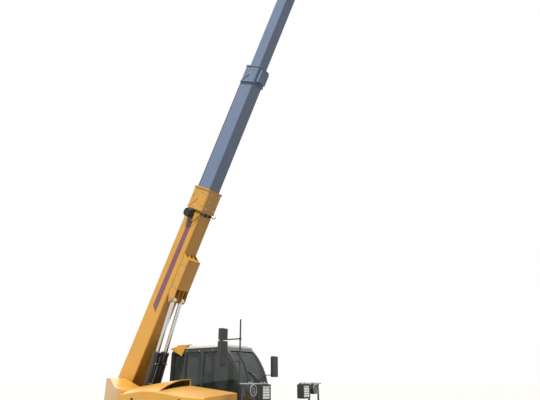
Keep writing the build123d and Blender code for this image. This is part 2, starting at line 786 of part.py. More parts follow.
def lift_barrels():
    """The two lift cylinders' barrels side by side under the boom, with the tie between them."""
    barrels = [
        barrel_along_x(lift_barrel_radius, lift_barrel_bore, lift_rod_radius, lift_barrel_length,
                       lift_barrel_radius, lift_foot_width, lift_pin_radius, side * lift_cylinder_y)
        for side in (-1, 1)
    ]
    s0, s1 = lift_barrel_length - 260, lift_barrel_length - 200
    tie = block((s0, s1), (-lift_cylinder_y, lift_cylinder_y),
                (-lift_barrel_radius + 12, -lift_barrel_radius + 42))
    for side in (-1, 1):
        tie -= bar_x(lift_barrel_radius - 4, s0 - 1, s1 + 1, side * lift_cylinder_y, 0)
    return along(lift_pin, rod_eye, barrels[0] + barrels[1] + tie)


def lift_rods():
    reach = span(lift_pin, rod_eye)
    rods = [
        rod_along_x(lift_rod_radius, lift_rod_length, reach, lift_eye_radius, lift_eye_width,
                    side * lift_cylinder_y)
        for side in (-1, 1)
    ]
    return [along(lift_pin, rod_eye, rod) for rod in rods]


carriage_pin = boom_point(neck_pin_s, neck_pin_n)
tilt_anchor = boom_point(tilt_anchor_s, tilt_anchor_n)
tilt_eye = (
    carriage_pin[0] + tilt_ear_radius * sin(radians(tilt_ear_lean)),
    carriage_pin[1] + tilt_ear_radius * cos(radians(tilt_ear_lean)),
)


def tilt_barrel():
    return along(tilt_anchor, tilt_eye, barrel_along_x(
        tilt_barrel_radius, tilt_barrel_bore, tilt_rod_radius, tilt_barrel_length,
        tilt_eye_radius + 4, tilt_eye_width, tilt_pin_radius, 0.0))


def tilt_rod():
    reach = span(tilt_anchor, tilt_eye)
    return along(tilt_anchor, tilt_eye, rod_along_x(
        tilt_rod_radius, tilt_rod_length, reach, tilt_eye_radius, tilt_eye_width, 0.0))


def fork_carriage():
    """The frame that carries the forks, level while the boom stands raised, with its cheeks and pin."""
    x, z = carriage_pin
    back, front = x + carriage_back, x + carriage_back + carriage_bar
    low, top, half = z + carriage_bottom, z + carriage_top, carriage_half_width
    shape = None
    for z0, z1 in ((low, low + 110), (top - 90, top)):
        rail = block((back, front), (-half, half), (z0, z1))
        shape = rail if shape is None else shape + rail
    y0 = neck_half_width + part_gap
    post = carriage_post / 2
    posts = (half - post, fork_y - fork_width / 2 - post, y0 + post)
    for y in posts:
        for side in (-1, 1):
            shape += block((back, front), (side * (y - post), side * (y + post)), (low, top))
    cheek = profile([
        (x - 60, z - 55), (x - 60, z + 55), (back + 5, top - 60), (back + 5, z - 260), (x + 40, z - 80),
    ])
    for side in (-1, 1):
        shape += slab(cheek, side * y0, side * (y0 + neck_plate))
    shape += bar_y(neck_pin_radius, -y0 - neck_plate - 20, y0 + neck_plate + 20, x, z)
    ex, ez = tilt_eye
    lug = profile([
        (ex - 46, ez - 20), (ex - 36, ez + 36), (ex + 10, ez + 50), (back + 5, top - 10),
        (back + 5, top - 85),
        (ex + 30, ez - 44), (ex - 20, ez - 46),
    ])
    gap = tilt_eye_width / 2 + part_gap
    for side in (-1, 1):
        shape += slab(lug, side * gap, side * (gap + tilt_lug_plate))
        shape += block((front - 1, front + fork_rail), (side * 60, side * half), (top - 60, top - 20))
    return shape


def forks():
    """Two load forks, each one forged bar bent into an L, hooked over the carriage's upper rail."""
    x, z = carriage_pin
    face = x + carriage_back + carriage_bar + fork_rail
    low, top = z + carriage_bottom - fork_drop, z + carriage_top + 30
    t = fork_thickness
    end = face + fork_length + t
    outline = profile([
        (face, top), (face, low - t), (end, low - t), (end, low - t + 12), (face + fork_length * 0.6, low),
        (face + t + 30, low), (face + t, low + 30), (face + t, top),
    ])
    half = fork_width / 2
    return [slab(outline, side * fork_y - half, side * fork_y + half) for side in (-1, 1)]


def cab_outline(inset=0.0):
    """The cab seen from the side: upright tail, level roof, a long curved windscreen and a stepped floor."""
    screen_top = (cab_front - screen_top_setback, cab_top)
    bulge = (cab_front - screen_bulge_setback, cab_top - screen_bulge_drop)
    chin = (cab_front, cab_top - screen_chin_drop)
    before = [
        (cab_rear, body_floor), (cab_rear, cab_top - rear_slope_drop),
        (cab_rear + rear_slope_run, cab_top), screen_top,
    ]
    after = [
        chin, (cab_front - screen_foot_setback, cab_top - screen_foot_drop),
        (cab_floor_front, cab_top - front_step_drop), (cab_floor_front, cab_bottom),
        (cab_floor_rear, cab_bottom),
        (cab_floor_rear, body_floor), (cab_rear, body_floor),
    ]
    front = ThreePointArc(*[(x, 0, z) for x, z in (screen_top, bulge, chin)])
    rear = Polyline([(x, 0, z) for x, z in before])
    foot = Polyline([(x, 0, z) for x, z in after])
    face = make_face(rear + front + foot)
    return face if inset == 0.0 else offset(face, amount=-inset, kind=Kind.INTERSECTION)


def side_cutter(inset, x, z, y, corner):
    """A cut through a side wall: the cab's outline drawn in, within limits, with round corners."""
    region = slab(cab_outline(inset), *y) & block(x, (0, cab_left + 10), z)
    return fillet(region.edges().filter_by(Axis.Y), corner)


door_x0 = door_pillar_x + pillar_half
door_hinge_x = door_x0
door_hinge_y = cab_left + door_hinge_reach
right_wall = (cab_right - 1, cab_right + cab_wall + 1)
left_wall = (cab_left - cab_wall - 1, cab_left + 1)


def cab_windows():
    """Cutters for every fixed window, each run through its own wall only, by wall."""
    fields = (
        # first and last place along X, sill
        (cab_rear + 45, rear_pillar_x - pillar_half, rear_sill_z),
        (rear_pillar_x + pillar_half, door_pillar_x - pillar_half, rear_sill_z),
        (door_x0, cab_front, side_sill_z),
    )
    cutters = {"right": [], "left": []}
    for x0, x1, sill in fields:
        cutters["right"].append(side_cutter(window_border, (x0, x1), (sill, cab_top), right_wall,
                                            window_corner))
    for x0, x1, sill in fields[:2]:
        cutters["left"].append(side_cutter(window_border, (x0, x1), (sill, cab_top), left_wall,
                                           window_corner))
    across = (cab_right + cab_wall + 5, cab_left - cab_wall - 5)
    screen = block((door_x0 + 335, cab_front + 250), across, (side_sill_z + 20, cab_top - 60))
    cutters["front"] = [fillet(screen.edges().filter_by(Axis.X), window_corner)]
    rear = block((cab_rear - 1, cab_rear + cab_wall + 1), across, (rear_sill_z + 20, cab_top - 110))
    cutters["rear"] = [fillet(rear.edges().filter_by(Axis.X), window_corner)]
    return cutters


def cab_shell():
    """The cab's walls all round, above the chassis plate on its right and down to its floor on the left."""
    outer = slab(cab_outline(), cab_right, cab_left)
    rim = [edge for edge in outer.edges() if abs(edge.center().Y - cab_left) < 1]
    outer = fillet(rim, cab_edge)
    inner = slab(cab_outline(cab_wall), cab_right + cab_wall, cab_left - cab_wall)
    return outer - inner - block((cab_rear - 1, cab_front), (0, chassis_half_width),
                                 (0, chassis_top + part_gap))


def door_region(gap):
    """The doorway in the left wall, or the door itself where a gap is given."""
    return side_cutter(door_border + gap, (door_x0 + gap, cab_front), (door_bottom + gap, door_top - gap),
                       left_wall, window_corner + door_border - gap)


def cab():
    """The cab's frame, its fixed panes, the door's frame and the door's pane."""
    cutters = cab_windows()
    shell = cab_shell()
    frame = shell - door_region(0.0)
    for wall in cutters.values():
        for cutter in wall:
            frame -= cutter
    x = (cab_floor_rear + cab_wall, cab_floor_front - cab_wall)
    ledge = chassis_top + part_gap
    frame += block(x, (chassis_half_width, chassis_half_width + cab_wall), (cab_bottom, ledge + cab_wall))
    frame += block(x, (cab_right + cab_wall, chassis_half_width + cab_wall), (ledge, ledge + cab_wall))
    t, inset = glass_thickness, glass_inset
    whole = (0, cab_top)
    right_pane = block((cab_rear, cab_front), (cab_right + inset, cab_right + inset + t), whole)
    left_pane = block((cab_rear, cab_front), (cab_left - inset - t, cab_left - inset), whole)
    rear_pane = block((cab_rear + inset, cab_rear + inset + t), (0, cab_left), whole)
    sheet = slab(cab_outline(inset), cab_right, cab_left)
    sheet -= slab(cab_outline(inset + t), cab_right, cab_left)
    panes = []
    for wall, pane in (("right", right_pane), ("left", left_pane), ("rear", rear_pane), ("front", sheet)):
        panes += [cutter & pane for cutter in cutters[wall]]
    door = shell & door_region(door_gap)
    window = side_cutter(door_border + door_frame_width, (door_x0 + door_frame_width, cab_front),
                         (door_sill_z, door_top - door_frame_width), left_wall, window_corner)
    door -= window
    half = door_hinge_height
    for z in (door_sill_z + half, door_top - 3 * half):
        near, far = door_hinge_x - half, door_hinge_x + half
        side = (cab_left - 1, door_hinge_y + 10)
        door += bar_z(door_hinge_radius, z, z + half, door_hinge_x, door_hinge_y)
        door += block((door_hinge_x, far), side, (z, z + half))
        frame += bar_z(door_hinge_radius, z - half, z - running_gap, door_hinge_x, door_hinge_y)
        frame += block((near, door_hinge_x), side, (z - half, z - running_gap))
    handle_x = cab_front - 102
    handle_z = (door_sill_z + 200, door_sill_z + 380)
    door += block((handle_x, handle_x + 22), (cab_left - 1, cab_left + 12), handle_z)
    door += block((handle_x - 60, handle_x + 22), (cab_left + 11, cab_left + 26), handle_z)
    return frame, panes, door, window & left_pane


def cab_roof():
    """The roof panel with its rolled rim and raised crown."""
    x0, x1 = cab_rear + rear_slope_run, cab_front - screen_top_setback
    panel = block((x0, x1), (cab_right, cab_left), (cab_top, cab_top + roof_lip))
    panel = fillet(panel.edges().group_by(Axis.Z)[-1], roof_edge)
    crown = block((x0 + 50, x1 - 70), (cab_right + 50, cab_left - 50), (cab_top + roof_lip - 1, roof_top))
    return panel + fillet(crown.edges().group_by(Axis.Z)[-1], roof_edge * 2)


def cab_visor():
    """The yellow rear corner panel of the roof: a cheek on each side and a plate across."""
    cheek = profile([
        (cab_rear - 28, cab_top + 18), (cab_rear + 313, cab_top - 138), (cab_rear + 408, cab_top + 40),
        (cab_rear + 590, cab_top + 90), (cab_rear + 250, cab_top + 82),
    ])
    sheet = 9.0
    shape = slab(cheek, cab_right - sheet, cab_right) + slab(cheek, cab_left, cab_left + sheet)
    return shape + block((cab_rear + 160, cab_rear + 450), (cab_right - sheet, cab_left + sheet),
                         (roof_top, roof_top + 12))


seat_x = cab_floor_rear + 140
seat_y = (cab_right + cab_left) / 2
seat_z = cab_bottom + 330
cab_floor = cab_bottom + cab_wall
console_x = cab_floor_front - 90


def seat_base():
    """The seat's suspension box on the cab's floor."""
    box = block((seat_x, seat_x + 440), (seat_y - 190, seat_y + 190), (cab_floor, seat_z - 40))
    return box + soft_block((seat_x - 20, seat_x + 470), (seat_y - 215, seat_y + 215),
                            (seat_z - 41, seat_z), 8)


def driver_seat():
    """Cushion and backrest, plain, to be dressed."""
    top = seat_z + 140
    cushion = soft_block((seat_x - 20, seat_x + 500), (seat_y - 230, seat_y + 230),
                         (seat_z + seat_gap, top), 25)
    back = slab(eased([
        (seat_x - 15, top - 30), (seat_x + 120, top - 30), (seat_x + 30, top + 630),
        (seat_x - 70, top + 630),
    ], 20), seat_y - 210, seat_y + 210)
    return cushion + back


def dash_console():
    """The instrument column at the front of the cab and the control pod on the seat's right."""
    console = slab(profile([
        (console_x, cab_floor), (console_x, cab_floor + 490), (console_x - 140, cab_floor + 560),
        (console_x - 220, cab_floor + 480), (console_x - 140, cab_floor),
    ]), seat_y - 230, seat_y + 230)
    y = (seat_y - 312, seat_y - 238)
    pod = soft_block((seat_x + 60, seat_x + 500), y, (cab_floor, seat_z + 230), 12)
    pod += bar_z(11, seat_z + 229, seat_z + 320, seat_x + 430, seat_y - 275)
    return console, pod + bar_z(20, seat_z + 310, seat_z + 390, seat_x + 430, seat_y - 275)


def steering_wheel():
    """The wheel and its column, standing square on the console's sloping face."""
    foot = (console_x - 180, cab_floor + 520)
    end = (foot[0] - 160, foot[1] + 160)
    shape = bar_x(24, 0, 150, 0, 0) + Pos(165, 0, 0) * Rot(0, 90, 0) * Torus(185, 15)
    shape += block((150, 170), (-186, 186), (-16, 16)) + bar_x(46, 148, 178, 0, 0)
    return Pos(0, seat_y, 0) * along(foot, end, shape)


def engine_bay():
    """The open-topped body around the engine, wider above, with the opening for its side grille."""
    y0, y1, y2, w = -hood_outer, -chassis_half_width, -hood_inner, hood_wall
    lower = block((bay_rear, bay_front), (y0, y1), (chassis_bottom, hood_floor + 1))
    lower = fillet(lower.edges().filter_by(Axis.X).group_by(Axis.Y)[0], lid_wall)
    upper = block((hood_rear, hood_front), (y0, y2), (hood_floor, hood_parting))
    hollow = block((bay_rear + w, bay_front - w), (y0 + w, y1 - w), (chassis_bottom + w, hood_parting + 1))
    hollow += block((hood_rear + w, hood_front - w), (y0 + w, y2 - w), (hood_floor + w, hood_parting + 1))
    x, z = grille_limits(-vent_border)
    return lower + upper - hollow - block(x, (y0 - 1, y0 + w + 1), z)



def grille_limits(grow):
    """Limits along X and up for the side grille, grown or drawn in all round."""
    x0, x1 = bay_rear + vent_margin - grow, bay_front - vent_margin + grow
    return (x0, x1), (chassis_bottom + 240 - grow, hood_floor - vent_margin + grow)


def engine_grille():
    """The louvred panel on the engine bay's side: three fields of slots in a frame, a blade in each slot."""
    (x0, x1), (z0, z1) = grille_limits(0)
    face, depth = -hood_outer, 12.0
    shape = block((x0, x1), (face - depth, face), (z0, z1))
    shape = fillet(shape.edges().group_by(Axis.Y)[0], 4)
    fields = 3
    width = (x1 - x0 - vent_border * 2 * (fields + 1)) / fields
    rows = int((z1 - z0 - 3 * vent_border) // vent_pitch)
    for i in range(fields):
        a = x0 + vent_border * 2 + i * (width + vent_border * 2)
        for j in range(rows):
            z = z0 + vent_border * 1.5 + j * vent_pitch
            shape -= block((a, a + width), (face - depth - 1, face + 1), (z, z + vent_slot))
            blade = Rot(-38, 0, 0) * Box(width + 2, 32, 3)
            shape += Pos(a + width / 2, face - depth / 2 - 7, z + vent_slot - 4) * blade
    return shape


def lid_section(x, crest, shoulder, inset):
    """The hood's top cut across at one place: outer wall, round shoulder, crowned top and inner wall."""
    y0, y1 = -hood_outer + inset, -hood_inner - inset
    s = hood_parting + shoulder - inset
    c = hood_parting + crest - inset
    quarter = 1 - sqrt(0.5)
    wall = Polyline([(x, y1, c - 6), (x, y1, hood_parting), (x, y0, hood_parting),
                     (x, y0, s - hood_shoulder_drop)])
    turn = ThreePointArc(
        (x, y0, s - hood_shoulder_drop),
        (x, y0 + hood_shoulder * quarter, s - hood_shoulder_drop * quarter),
        (x, y0 + hood_shoulder, s))
    top = ThreePointArc((x, y0 + hood_shoulder, s), (x, -640, c - 30), (x, y1, c - 6))
    return make_face(wall + turn + top)


def lid_part(sections, inset):
    """A ruled loft through upright cross-sections of the hood's top."""
    return loft([lid_section(x, crest, shoulder, inset) for x, crest, shoulder in sections], ruled=True)


hood_sections = (
    # place along X, height of the crest and of the outer shoulder above the parting
    (hood_rear, 262.0, 115.0),
    (hood_step_x - 345.0, 335.0, 177.0),
    (hood_step_x, 362.0, 162.0),
)
nose_sections = (
    (hood_step_x - 1.0, 252.0, 160.0),
    (hood_front - 483.0, 192.0, 96.0),
    (hood_front, 140.0, 77.0),
)


def hood_lid():
    """The lid over the engine: a crowned rear half, a step with the air intake, and a falling nose."""
    shape = lid_part(hood_sections, 0.0) + lid_part(nose_sections, 0.0)
    (rear_x, *rear), *rest = hood_sections
    *first, (front_x, *front) = nose_sections
    hollow = lid_part([(rear_x + lid_wall, *rear), *rest], lid_wall)
    hollow += lid_part([*first, (front_x - lid_wall, *front)], lid_wall)
    shape -= Pos(0, 0, -0.5) * hollow
    for y in lid_hinge_places:
        shape += bar_y(lid_hinge_radius, y - lid_hinge_half, y + lid_hinge_half, lid_hinge_x, lid_hinge_z)
        shape += block((lid_hinge_x, hood_rear + 2), (y - lid_hinge_half, y + lid_hinge_half),
                       (lid_hinge_z - 6, lid_hinge_z + 6))
    return Pos(0, 0, seat_gap) * shape


def intake_field(inset, nose_drop):
    """What lies between the lid's top and its nose just behind the hood's step, drawn in by an inset."""
    back = hood_step_x - 30.0
    crest, shoulder = nose_sections[0][1:]
    slice_box = block((back, back + intake_depth), (-hood_outer, 0), (hood_parting, cab_top))
    room = Pos(0, 0, -0.5) * lid_part(hood_sections, inset) & slice_box
    nose = lid_section(back - 1, crest - nose_drop, shoulder - nose_drop, 0.0)
    return room - extrude(nose, amount=intake_depth + 2, dir=(1, 0, 0))


def intake_grille():
    """Upright slats across the air intake in the hood's step, in a frame behind the opening."""
    inset = lid_wall + seat_gap
    frame = intake_field(inset, intake_rail)
    slots = intake_field(inset + intake_rail, 0.0)
    for i in range(intake_slots):
        y = -hood_inner - 40.0 - i * intake_pitch
        slot = block((hood_step_x - 60, hood_step_x), (y - intake_pitch + intake_slat, y),
                     (hood_parting, cab_top))
        frame -= slot & slots
    return Pos(0, 0, seat_gap) * frame


def engine_block():
    """The engine with its gearbox and coolers, as one plain block in the bay."""
    return block((bay_rear + 160, bay_front - 180), (-hood_outer + 110, -chassis_half_width - 120),
                 (chassis_bottom + hood_wall, hood_floor + 15))


def pin_end_pocket(side):
    """Room in a cowl for the boom pin's end."""
    y = side * chassis_half_width
    return bar_y(boom_pin_radius + 12, y - side, y + side * (pin_end + 15), boom_pivot_x, boom_pivot_z)


def cowl_outline(x0, front, middle, crest, tail):
    """A cowl's side view with round upper corners: heights at the front, over the axle and at the tower."""
    face = profile([
        (x0, body_floor), (x0, front), (rear_axle_x - 10, middle), (boom_pivot_x + 260, crest),
        (boom_pivot_x, crest + 6), (boom_pivot_x - 125, tail), (boom_pivot_x - 140, boom_pivot_z - 106),
        (counterweight_front_x - 5, body_floor),
    ])
    upper = [corner for corner in face.vertices() if corner.Z > body_floor + 200]
    return fillet(upper, 55)


def rear_cowl():
    """The bodywork beside the tower on the right, rising towards the tail and cut away in plan."""
    x0, y0, y1 = hood_rear - cowl_gap, -hood_outer + 20, -chassis_half_width
    heights = (hood_parting + 180, hood_parting + 230, boom_pivot_z + 236, boom_pivot_z + 209)
    top = slab(cowl_outline(x0, *heights), y0, y1)
    low = body_floor - 1
    plan = make_face(Polyline([
        (x0, y1, low), (x0, y0 + 10, low), (rear_axle_x + 300, y0 + 50, low),
        (counterweight_front_x - 10, y1 - 200, low),
        (boom_pivot_x - 160, y1 - 140, low), (boom_pivot_x - 160, y1, low)], close=True))
    shape = (top & extrude(plan, amount=600, dir=(0, 0, 1))) - pin_end_pocket(-1)
    for y in lid_hinge_places:
        near, far = lid_hinge_half + running_gap, lid_hinge_half + 22
        for a, b in ((y - far, y - near), (y + near, y + far)):
            shape += bar_y(lid_hinge_radius, a, b, lid_hinge_x, lid_hinge_z)
            shape += block((hood_rear - 40, x0), (a, b), (lid_hinge_z - 25, lid_hinge_z))
    return shape


def rear_cowl_left():
    """The hydraulic tank's cowl beside the tower on the left, behind the cab."""
    outline = cowl_outline(cab_rear - 12, body_floor + 215, body_floor + 275, body_floor + 290,
                           body_floor + 250)
    return slab(outline, chassis_half_width, cab_left - 14) - pin_end_pocket(1)


def fender_arc(inner, outer, y0, y1):
    """A ring about the Y axis, kept only over the top of the wheel."""
    y = (y0 + y1) / 2
    ring = Cylinder(outer, y1 - y0) - Cylinder(inner, y1 - y0 + 2)
    far = outer * 3
    rays = [radians(a) for a in (90 - fender_half_angle, 90, 90 + fender_half_angle)]
    wedge = profile([(0, 0), *[(far * cos(a), far * sin(a)) for a in rays]])
    return Pos(0, y, 0) * (Rot(90, 0, 0) * ring & extrude(wedge, amount=y1 - y0, both=True, dir=(0, 1, 0)))


def fender(x):
    """A fender's shell over one left wheel, its outer edge rolled up."""
    outer = fender_radius + fender_thickness
    shape = fender_arc(fender_radius, outer, fender_inner_y, fender_outer_y)
    shape += fender_arc(outer - 1, outer + fender_lip, fender_outer_y - fender_lip_width, fender_outer_y)
    return Pos(x, 0, axle_z) * shape


def front_fender(side):
    """The front fender with the arm that carries it on the chassis."""
    shape = fender(front_axle_x)
    x = (front_axle_x - 60, front_axle_x + 60)
    top = axle_z + fender_radius + fender_thickness - 2
    shape += block(x, (chassis_half_width, fender_inner_y + 20), (top - 10, top))
    shape += block(x, (chassis_half_width, chassis_half_width + 10), (chassis_top - 160, top))
    return on_side(shape, side)


def rear_fender(side):
    """The rear fender, met from above by the bodywork's floor."""
    floor = block((chassis_rear_x, cab_floor_rear), (0, fender_outer_y + 1), (0, body_floor))
    return on_side(fender(rear_axle_x) & floor, side)


def fuel_tank():
    """The tank under the cab, with the two steps outside it."""
    outer = wheel_y - 135
    tank = block((cab_floor_rear, cab_floor_front), (chassis_half_width, outer),
                 (chassis_bottom, cab_bottom))
    tank = fillet(tank.edges().filter_by(Axis.X).group_by(Axis.Y)[-1], 28)
    middle = (door_x0 + cab_floor_front) / 2
    tread = (outer - 1, cab_left - 14)
    for z in (chassis_bottom - 40, chassis_bottom + 160):
        tank += block((middle - 250, middle + 250), tread, (z, z + 25))
    for x in (middle - 250, middle + 230):
        tank += block((x, x + 20), (outer - 1, cab_left - 24), (chassis_bottom - 60, cab_bottom - 20))
    return tank


lamp_y = lamp_bar_inner + 10 + lamp_width / 2
mirror_y = -(fender_outer_y + 32)
lamp_bar_outer = fender_outer_y + 50


def lamp_bracket(side):
    """The bar over a front fender with its posts, which carries the lamps and, on the right, the mirror."""
    x, half = lamp_x, lamp_bar / 2
    arc = fender_radius + fender_thickness + seat_gap
    base_z = axle_z + sqrt(arc ** 2 - (x - front_axle_x) ** 2)
    shape = block((x - half, x + half), (lamp_bar_inner, lamp_bar_outer), (lamp_bar_z, lamp_bar_z + 20))
    for y in (fender_inner_y + 20, fender_outer_y - 45):
        shape += block((x - half, x + half), (y - 14, y + 14), (base_z - 40, lamp_bar_z + 10))
    return on_side(shape - bar_y(arc, 0, lamp_bar_outer + 1, front_axle_x, axle_z), side)


def headlamps():
    """A square headlamp and a round lamp on each side, hung from their bars, with recessed fronts."""
    lamps = []
    x0, x1 = lamp_x - lamp_depth / 2 + 5, lamp_x + lamp_depth / 2 + 5
    for side in (-1, 1):
        y0, y1 = lamp_y - lamp_width / 2, lamp_y + lamp_width / 2
        square = block((x0, x1), (side * y0, side * y1), (lamp_bar_z - lamp_height, lamp_bar_z))
        square = fillet(square.edges().filter_by(Axis.X), 22)
        square -= block((x1 - 10, x1 + 1), (side * (y0 + 16), side * (y1 - 16)),
                        (lamp_bar_z - lamp_height + 16, lamp_bar_z - 16))
        z = lamp_bar_z - round_lamp_radius
        cup = bar_x(round_lamp_radius, x0 + 30, x1 - 10, side * round_lamp_y, z)
        cup += bar_x(round_lamp_radius * 0.7, x0 + 5, x0 + 31, side * round_lamp_y, z)
        lamps += [square, cup - bar_x(round_lamp_radius - 12, x1 - 20, x1, side * round_lamp_y, z)]
    return lamps


def mirrors():
    """The two-part mirror on its pole at the front right, and the cab's own on its left front corner."""
    y, arm = mirror_y, mirror_arm / 2
    pole = bar_z(mirror_pole_radius, lamp_bar_z + 20, mirror_pole_top, lamp_x, y)
    x = lamp_x - mirror_reach
    z1 = mirror_z + mirror_height
    across = (y - 20, y - 20 + mirror_width)
    depth = (x - mirror_depth / 2, x + mirror_depth / 2)
    low = soft_block(depth, across, (mirror_z, z1), 18)
    high = soft_block(depth, (across[0] + 8, across[1] - 8), (z1 + 12, z1 + 12 + spotter_height), 18)
    right = pole + low + high
    for z in (mirror_z + 60, z1 - 2):
        right += block((x, lamp_x), (y - arm, y + arm), (z, z + mirror_arm))
    x, z = cab_front + 130, cab_top - 510
    left = block((cab_front - mirror_foot, x), (cab_left, cab_left + 16), (z, z + 16))
    left += soft_block((x - 40, x + 30), (cab_left - 94, cab_left + 86), (z - 30, z + 360), 18)
    return left, right


def stabilizer_leg(side):
    """One front leg about its pin, stowed upward: a box arm, the cylinder's ears and the foot plate."""
    far = stabilizer_length + 40
    arm_face = make_face(Polyline([
        (0, -20, -70), (0, 60, -80), (0, far - 100, -55), (0, far, -45), (0, far, 45), (0, 200, 65),
        (0, -20, 70),
    ], close=True))
    t = stabilizer_thickness / 2
    shape = extrude(arm_face, amount=t, both=True, dir=(1, 0, 0))
    shape += bar_x(82, -t, t, 0, 0)
    s, n = stabilizer_eye_s, stabilizer_eye_n
    ear = make_face(Polyline([(0, s - 90, 40), (0, s - 40, n + 40), (0, s + 40, n + 40), (0, s + 90, 30)],
                             close=True))
    for x in (-t, t - 15):
        shape += Pos(x, 0, 0) * extrude(ear, amount=15, dir=(1, 0, 0))
    shape -= bar_x(stabilizer_pin_radius + shaft_fit, -t - 1, t + 1, 0, 0)
    deployed = stabilizer_travel - stabilizer_stow_angle
    foot = block((-130, 130), (-110, 110), (-92, -74)) + block((-40, 40), (-60, 60), (-75, 0))
    shape += Pos(0, stabilizer_length, 0) * Rot(deployed, 0, 0) * foot
    shape = Pos(stabilizer_x, stabilizer_pin_y, stabilizer_pin_z) * Rot(stabilizer_stow_angle, 0, 0) * shape
    return on_side(shape, side)


def stabilizer_point(s, n):
    """A place on the stowed left leg, along it and above it, in the machine's Y and Z."""
    a = radians(stabilizer_stow_angle)
    return (
        stabilizer_pin_y + s * cos(a) - n * sin(a),
        stabilizer_pin_z + s * sin(a) + n * cos(a),
    )


stabilizer_eye = stabilizer_point(stabilizer_eye_s, stabilizer_eye_n)
stabilizer_mount = (stabilizer_mount_y, stabilizer_mount_z)


def across(shape):
    """Turns a cylinder made along X to lie between its two pins in the Y-Z plane, on the left."""
    angle = degrees(atan2(stabilizer_eye[1] - stabilizer_mount[1], stabilizer_eye[0] - stabilizer_mount[0]))
    return Pos(stabilizer_x, *stabilizer_mount) * Rot(angle, 0, 0) * Rot(0, 0, 90) * shape


def stabilizer_barrel(side):
    return on_side(across(barrel_along_x(
        stabilizer_barrel_radius, stabilizer_barrel_radius - 12, stabilizer_rod_radius,
        stabilizer_barrel_length,
        stabilizer_barrel_radius - 3, 60.0, stabilizer_mount_radius, 0.0)), side)


def stabilizer_rod(side):
    reach = span(stabilizer_mount, stabilizer_eye)
    return on_side(across(rod_along_x(
        stabilizer_rod_radius, stabilizer_rod_length, reach, stabilizer_rod_radius + 10, 56.0, 0.0)), side)


sides = (("left", 1), ("right", -1))


def build_running_gear():
    """Axles, knuckles, rims and tyres, each made once and set in its four places."""
    one_axle = axle()
    kinds = (("tyre", tyre(), wheel_y), ("rim", rim(), wheel_y), ("knuckle", knuckle(), kingpin_y))
    for place, x in (("front", front_axle_x), ("rear", rear_axle_x)):
        save(f"axle_{place}", Pos(x, 0, axle_z) * one_axle)
        for kind, shape, y in kinds:
            placed = Pos(x, y, axle_z) * shape
            for name, side in sides:
                save(f"{kind}_{place}_{name}", on_side(placed, side))


def build():
    save("chassis_frame", chassis_frame())
    save("counterweight", counterweight())
    save("tail_lamps", *tail_lamps())
    save("drive_line", drive_line())
    build_running_gear()
    save("boom_base", boom_base())
    save("boom_middle", boom_mid())
    save("boom_tip", boom_tip())
    save("hose_rail", hose_rail())
    save("cable_reel", cable_reel())
    save("lift_barrels", lift_barrels())
    save("lift_rods", *lift_rods())
    save("tilt_barrel", tilt_barrel())
    save("tilt_rod", tilt_rod())
    save("fork_carriage", fork_carriage())
    save("forks", *forks())
    frame, panes, door, door_pane = cab()
    save("cab_frame", frame)
    save("cab_glass", *panes)
    save("cab_door", door)
    save("cab_door_glass", door_pane)
    save("cab_roof", cab_roof())
    save("cab_visor", cab_visor())
    save("seat_base", seat_base())
    save("driver_seat", driver_seat())
    save("dash_console", *dash_console())
    save("steering_wheel", steering_wheel())
    save("engine_bay", engine_bay())
    save("engine_grille", engine_grille())
    save("engine_block", engine_block())
    save("hood_lid", hood_lid())
    save("intake_grille", intake_grille())
    save("rear_cowl_right", rear_cowl())
    save("rear_cowl_left", rear_cowl_left())
    save("front_fenders", front_fender(1), front_fender(-1))
    save("rear_fenders", rear_fender(1), rear_fender(-1))
    save("fuel_tank", fuel_tank())
    save("lamp_brackets", lamp_bracket(1), lamp_bracket(-1))
    save("headlamps", *headlamps())
    for (name, _), mirror in zip(sides, mirrors()):
        save(f"mirror_{name}", mirror)
    for name, side in sides:
        save(f"stabilizer_leg_{name}", stabilizer_leg(side))
        save(f"stabilizer_barrel_{name}", stabilizer_barrel(side))
        save(f"stabilizer_rod_{name}", stabilizer_rod(side))


build()
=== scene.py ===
import json
from cmath import phase, rect
from math import atan2, cos, exp, pi, radians, sin, sqrt

import bmesh
import bpy
from mathutils import Matrix, Vector


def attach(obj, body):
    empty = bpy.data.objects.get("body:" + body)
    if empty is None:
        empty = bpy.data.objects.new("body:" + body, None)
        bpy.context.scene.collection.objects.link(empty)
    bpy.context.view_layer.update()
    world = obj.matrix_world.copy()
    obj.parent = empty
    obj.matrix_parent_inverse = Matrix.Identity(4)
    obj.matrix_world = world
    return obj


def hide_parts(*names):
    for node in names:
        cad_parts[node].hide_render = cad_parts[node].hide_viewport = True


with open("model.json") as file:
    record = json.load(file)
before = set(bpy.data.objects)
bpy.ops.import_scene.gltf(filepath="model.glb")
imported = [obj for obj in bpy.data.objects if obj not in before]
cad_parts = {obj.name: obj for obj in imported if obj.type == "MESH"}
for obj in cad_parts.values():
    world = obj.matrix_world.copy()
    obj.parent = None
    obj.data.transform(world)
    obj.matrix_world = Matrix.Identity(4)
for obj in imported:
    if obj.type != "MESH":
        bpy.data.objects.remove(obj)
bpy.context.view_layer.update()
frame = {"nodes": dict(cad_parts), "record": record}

bl_info = {
    "name": "Telehandler dressing",
    "version": (1, 0, 0),
    "blender": (4, 5, 0),
    "location": "3D View > Sidebar > Telehandler",
    "description": "Finishes and fittings for a telehandler with a raised three-section boom",
    "category": "Object",
}


def at(point, angle=0.0, axis="Y"):
    """The matrix that turns a shape about an axis and sets it at a place."""
    return Matrix.Translation(point) @ Matrix.Rotation(angle, 4, axis)


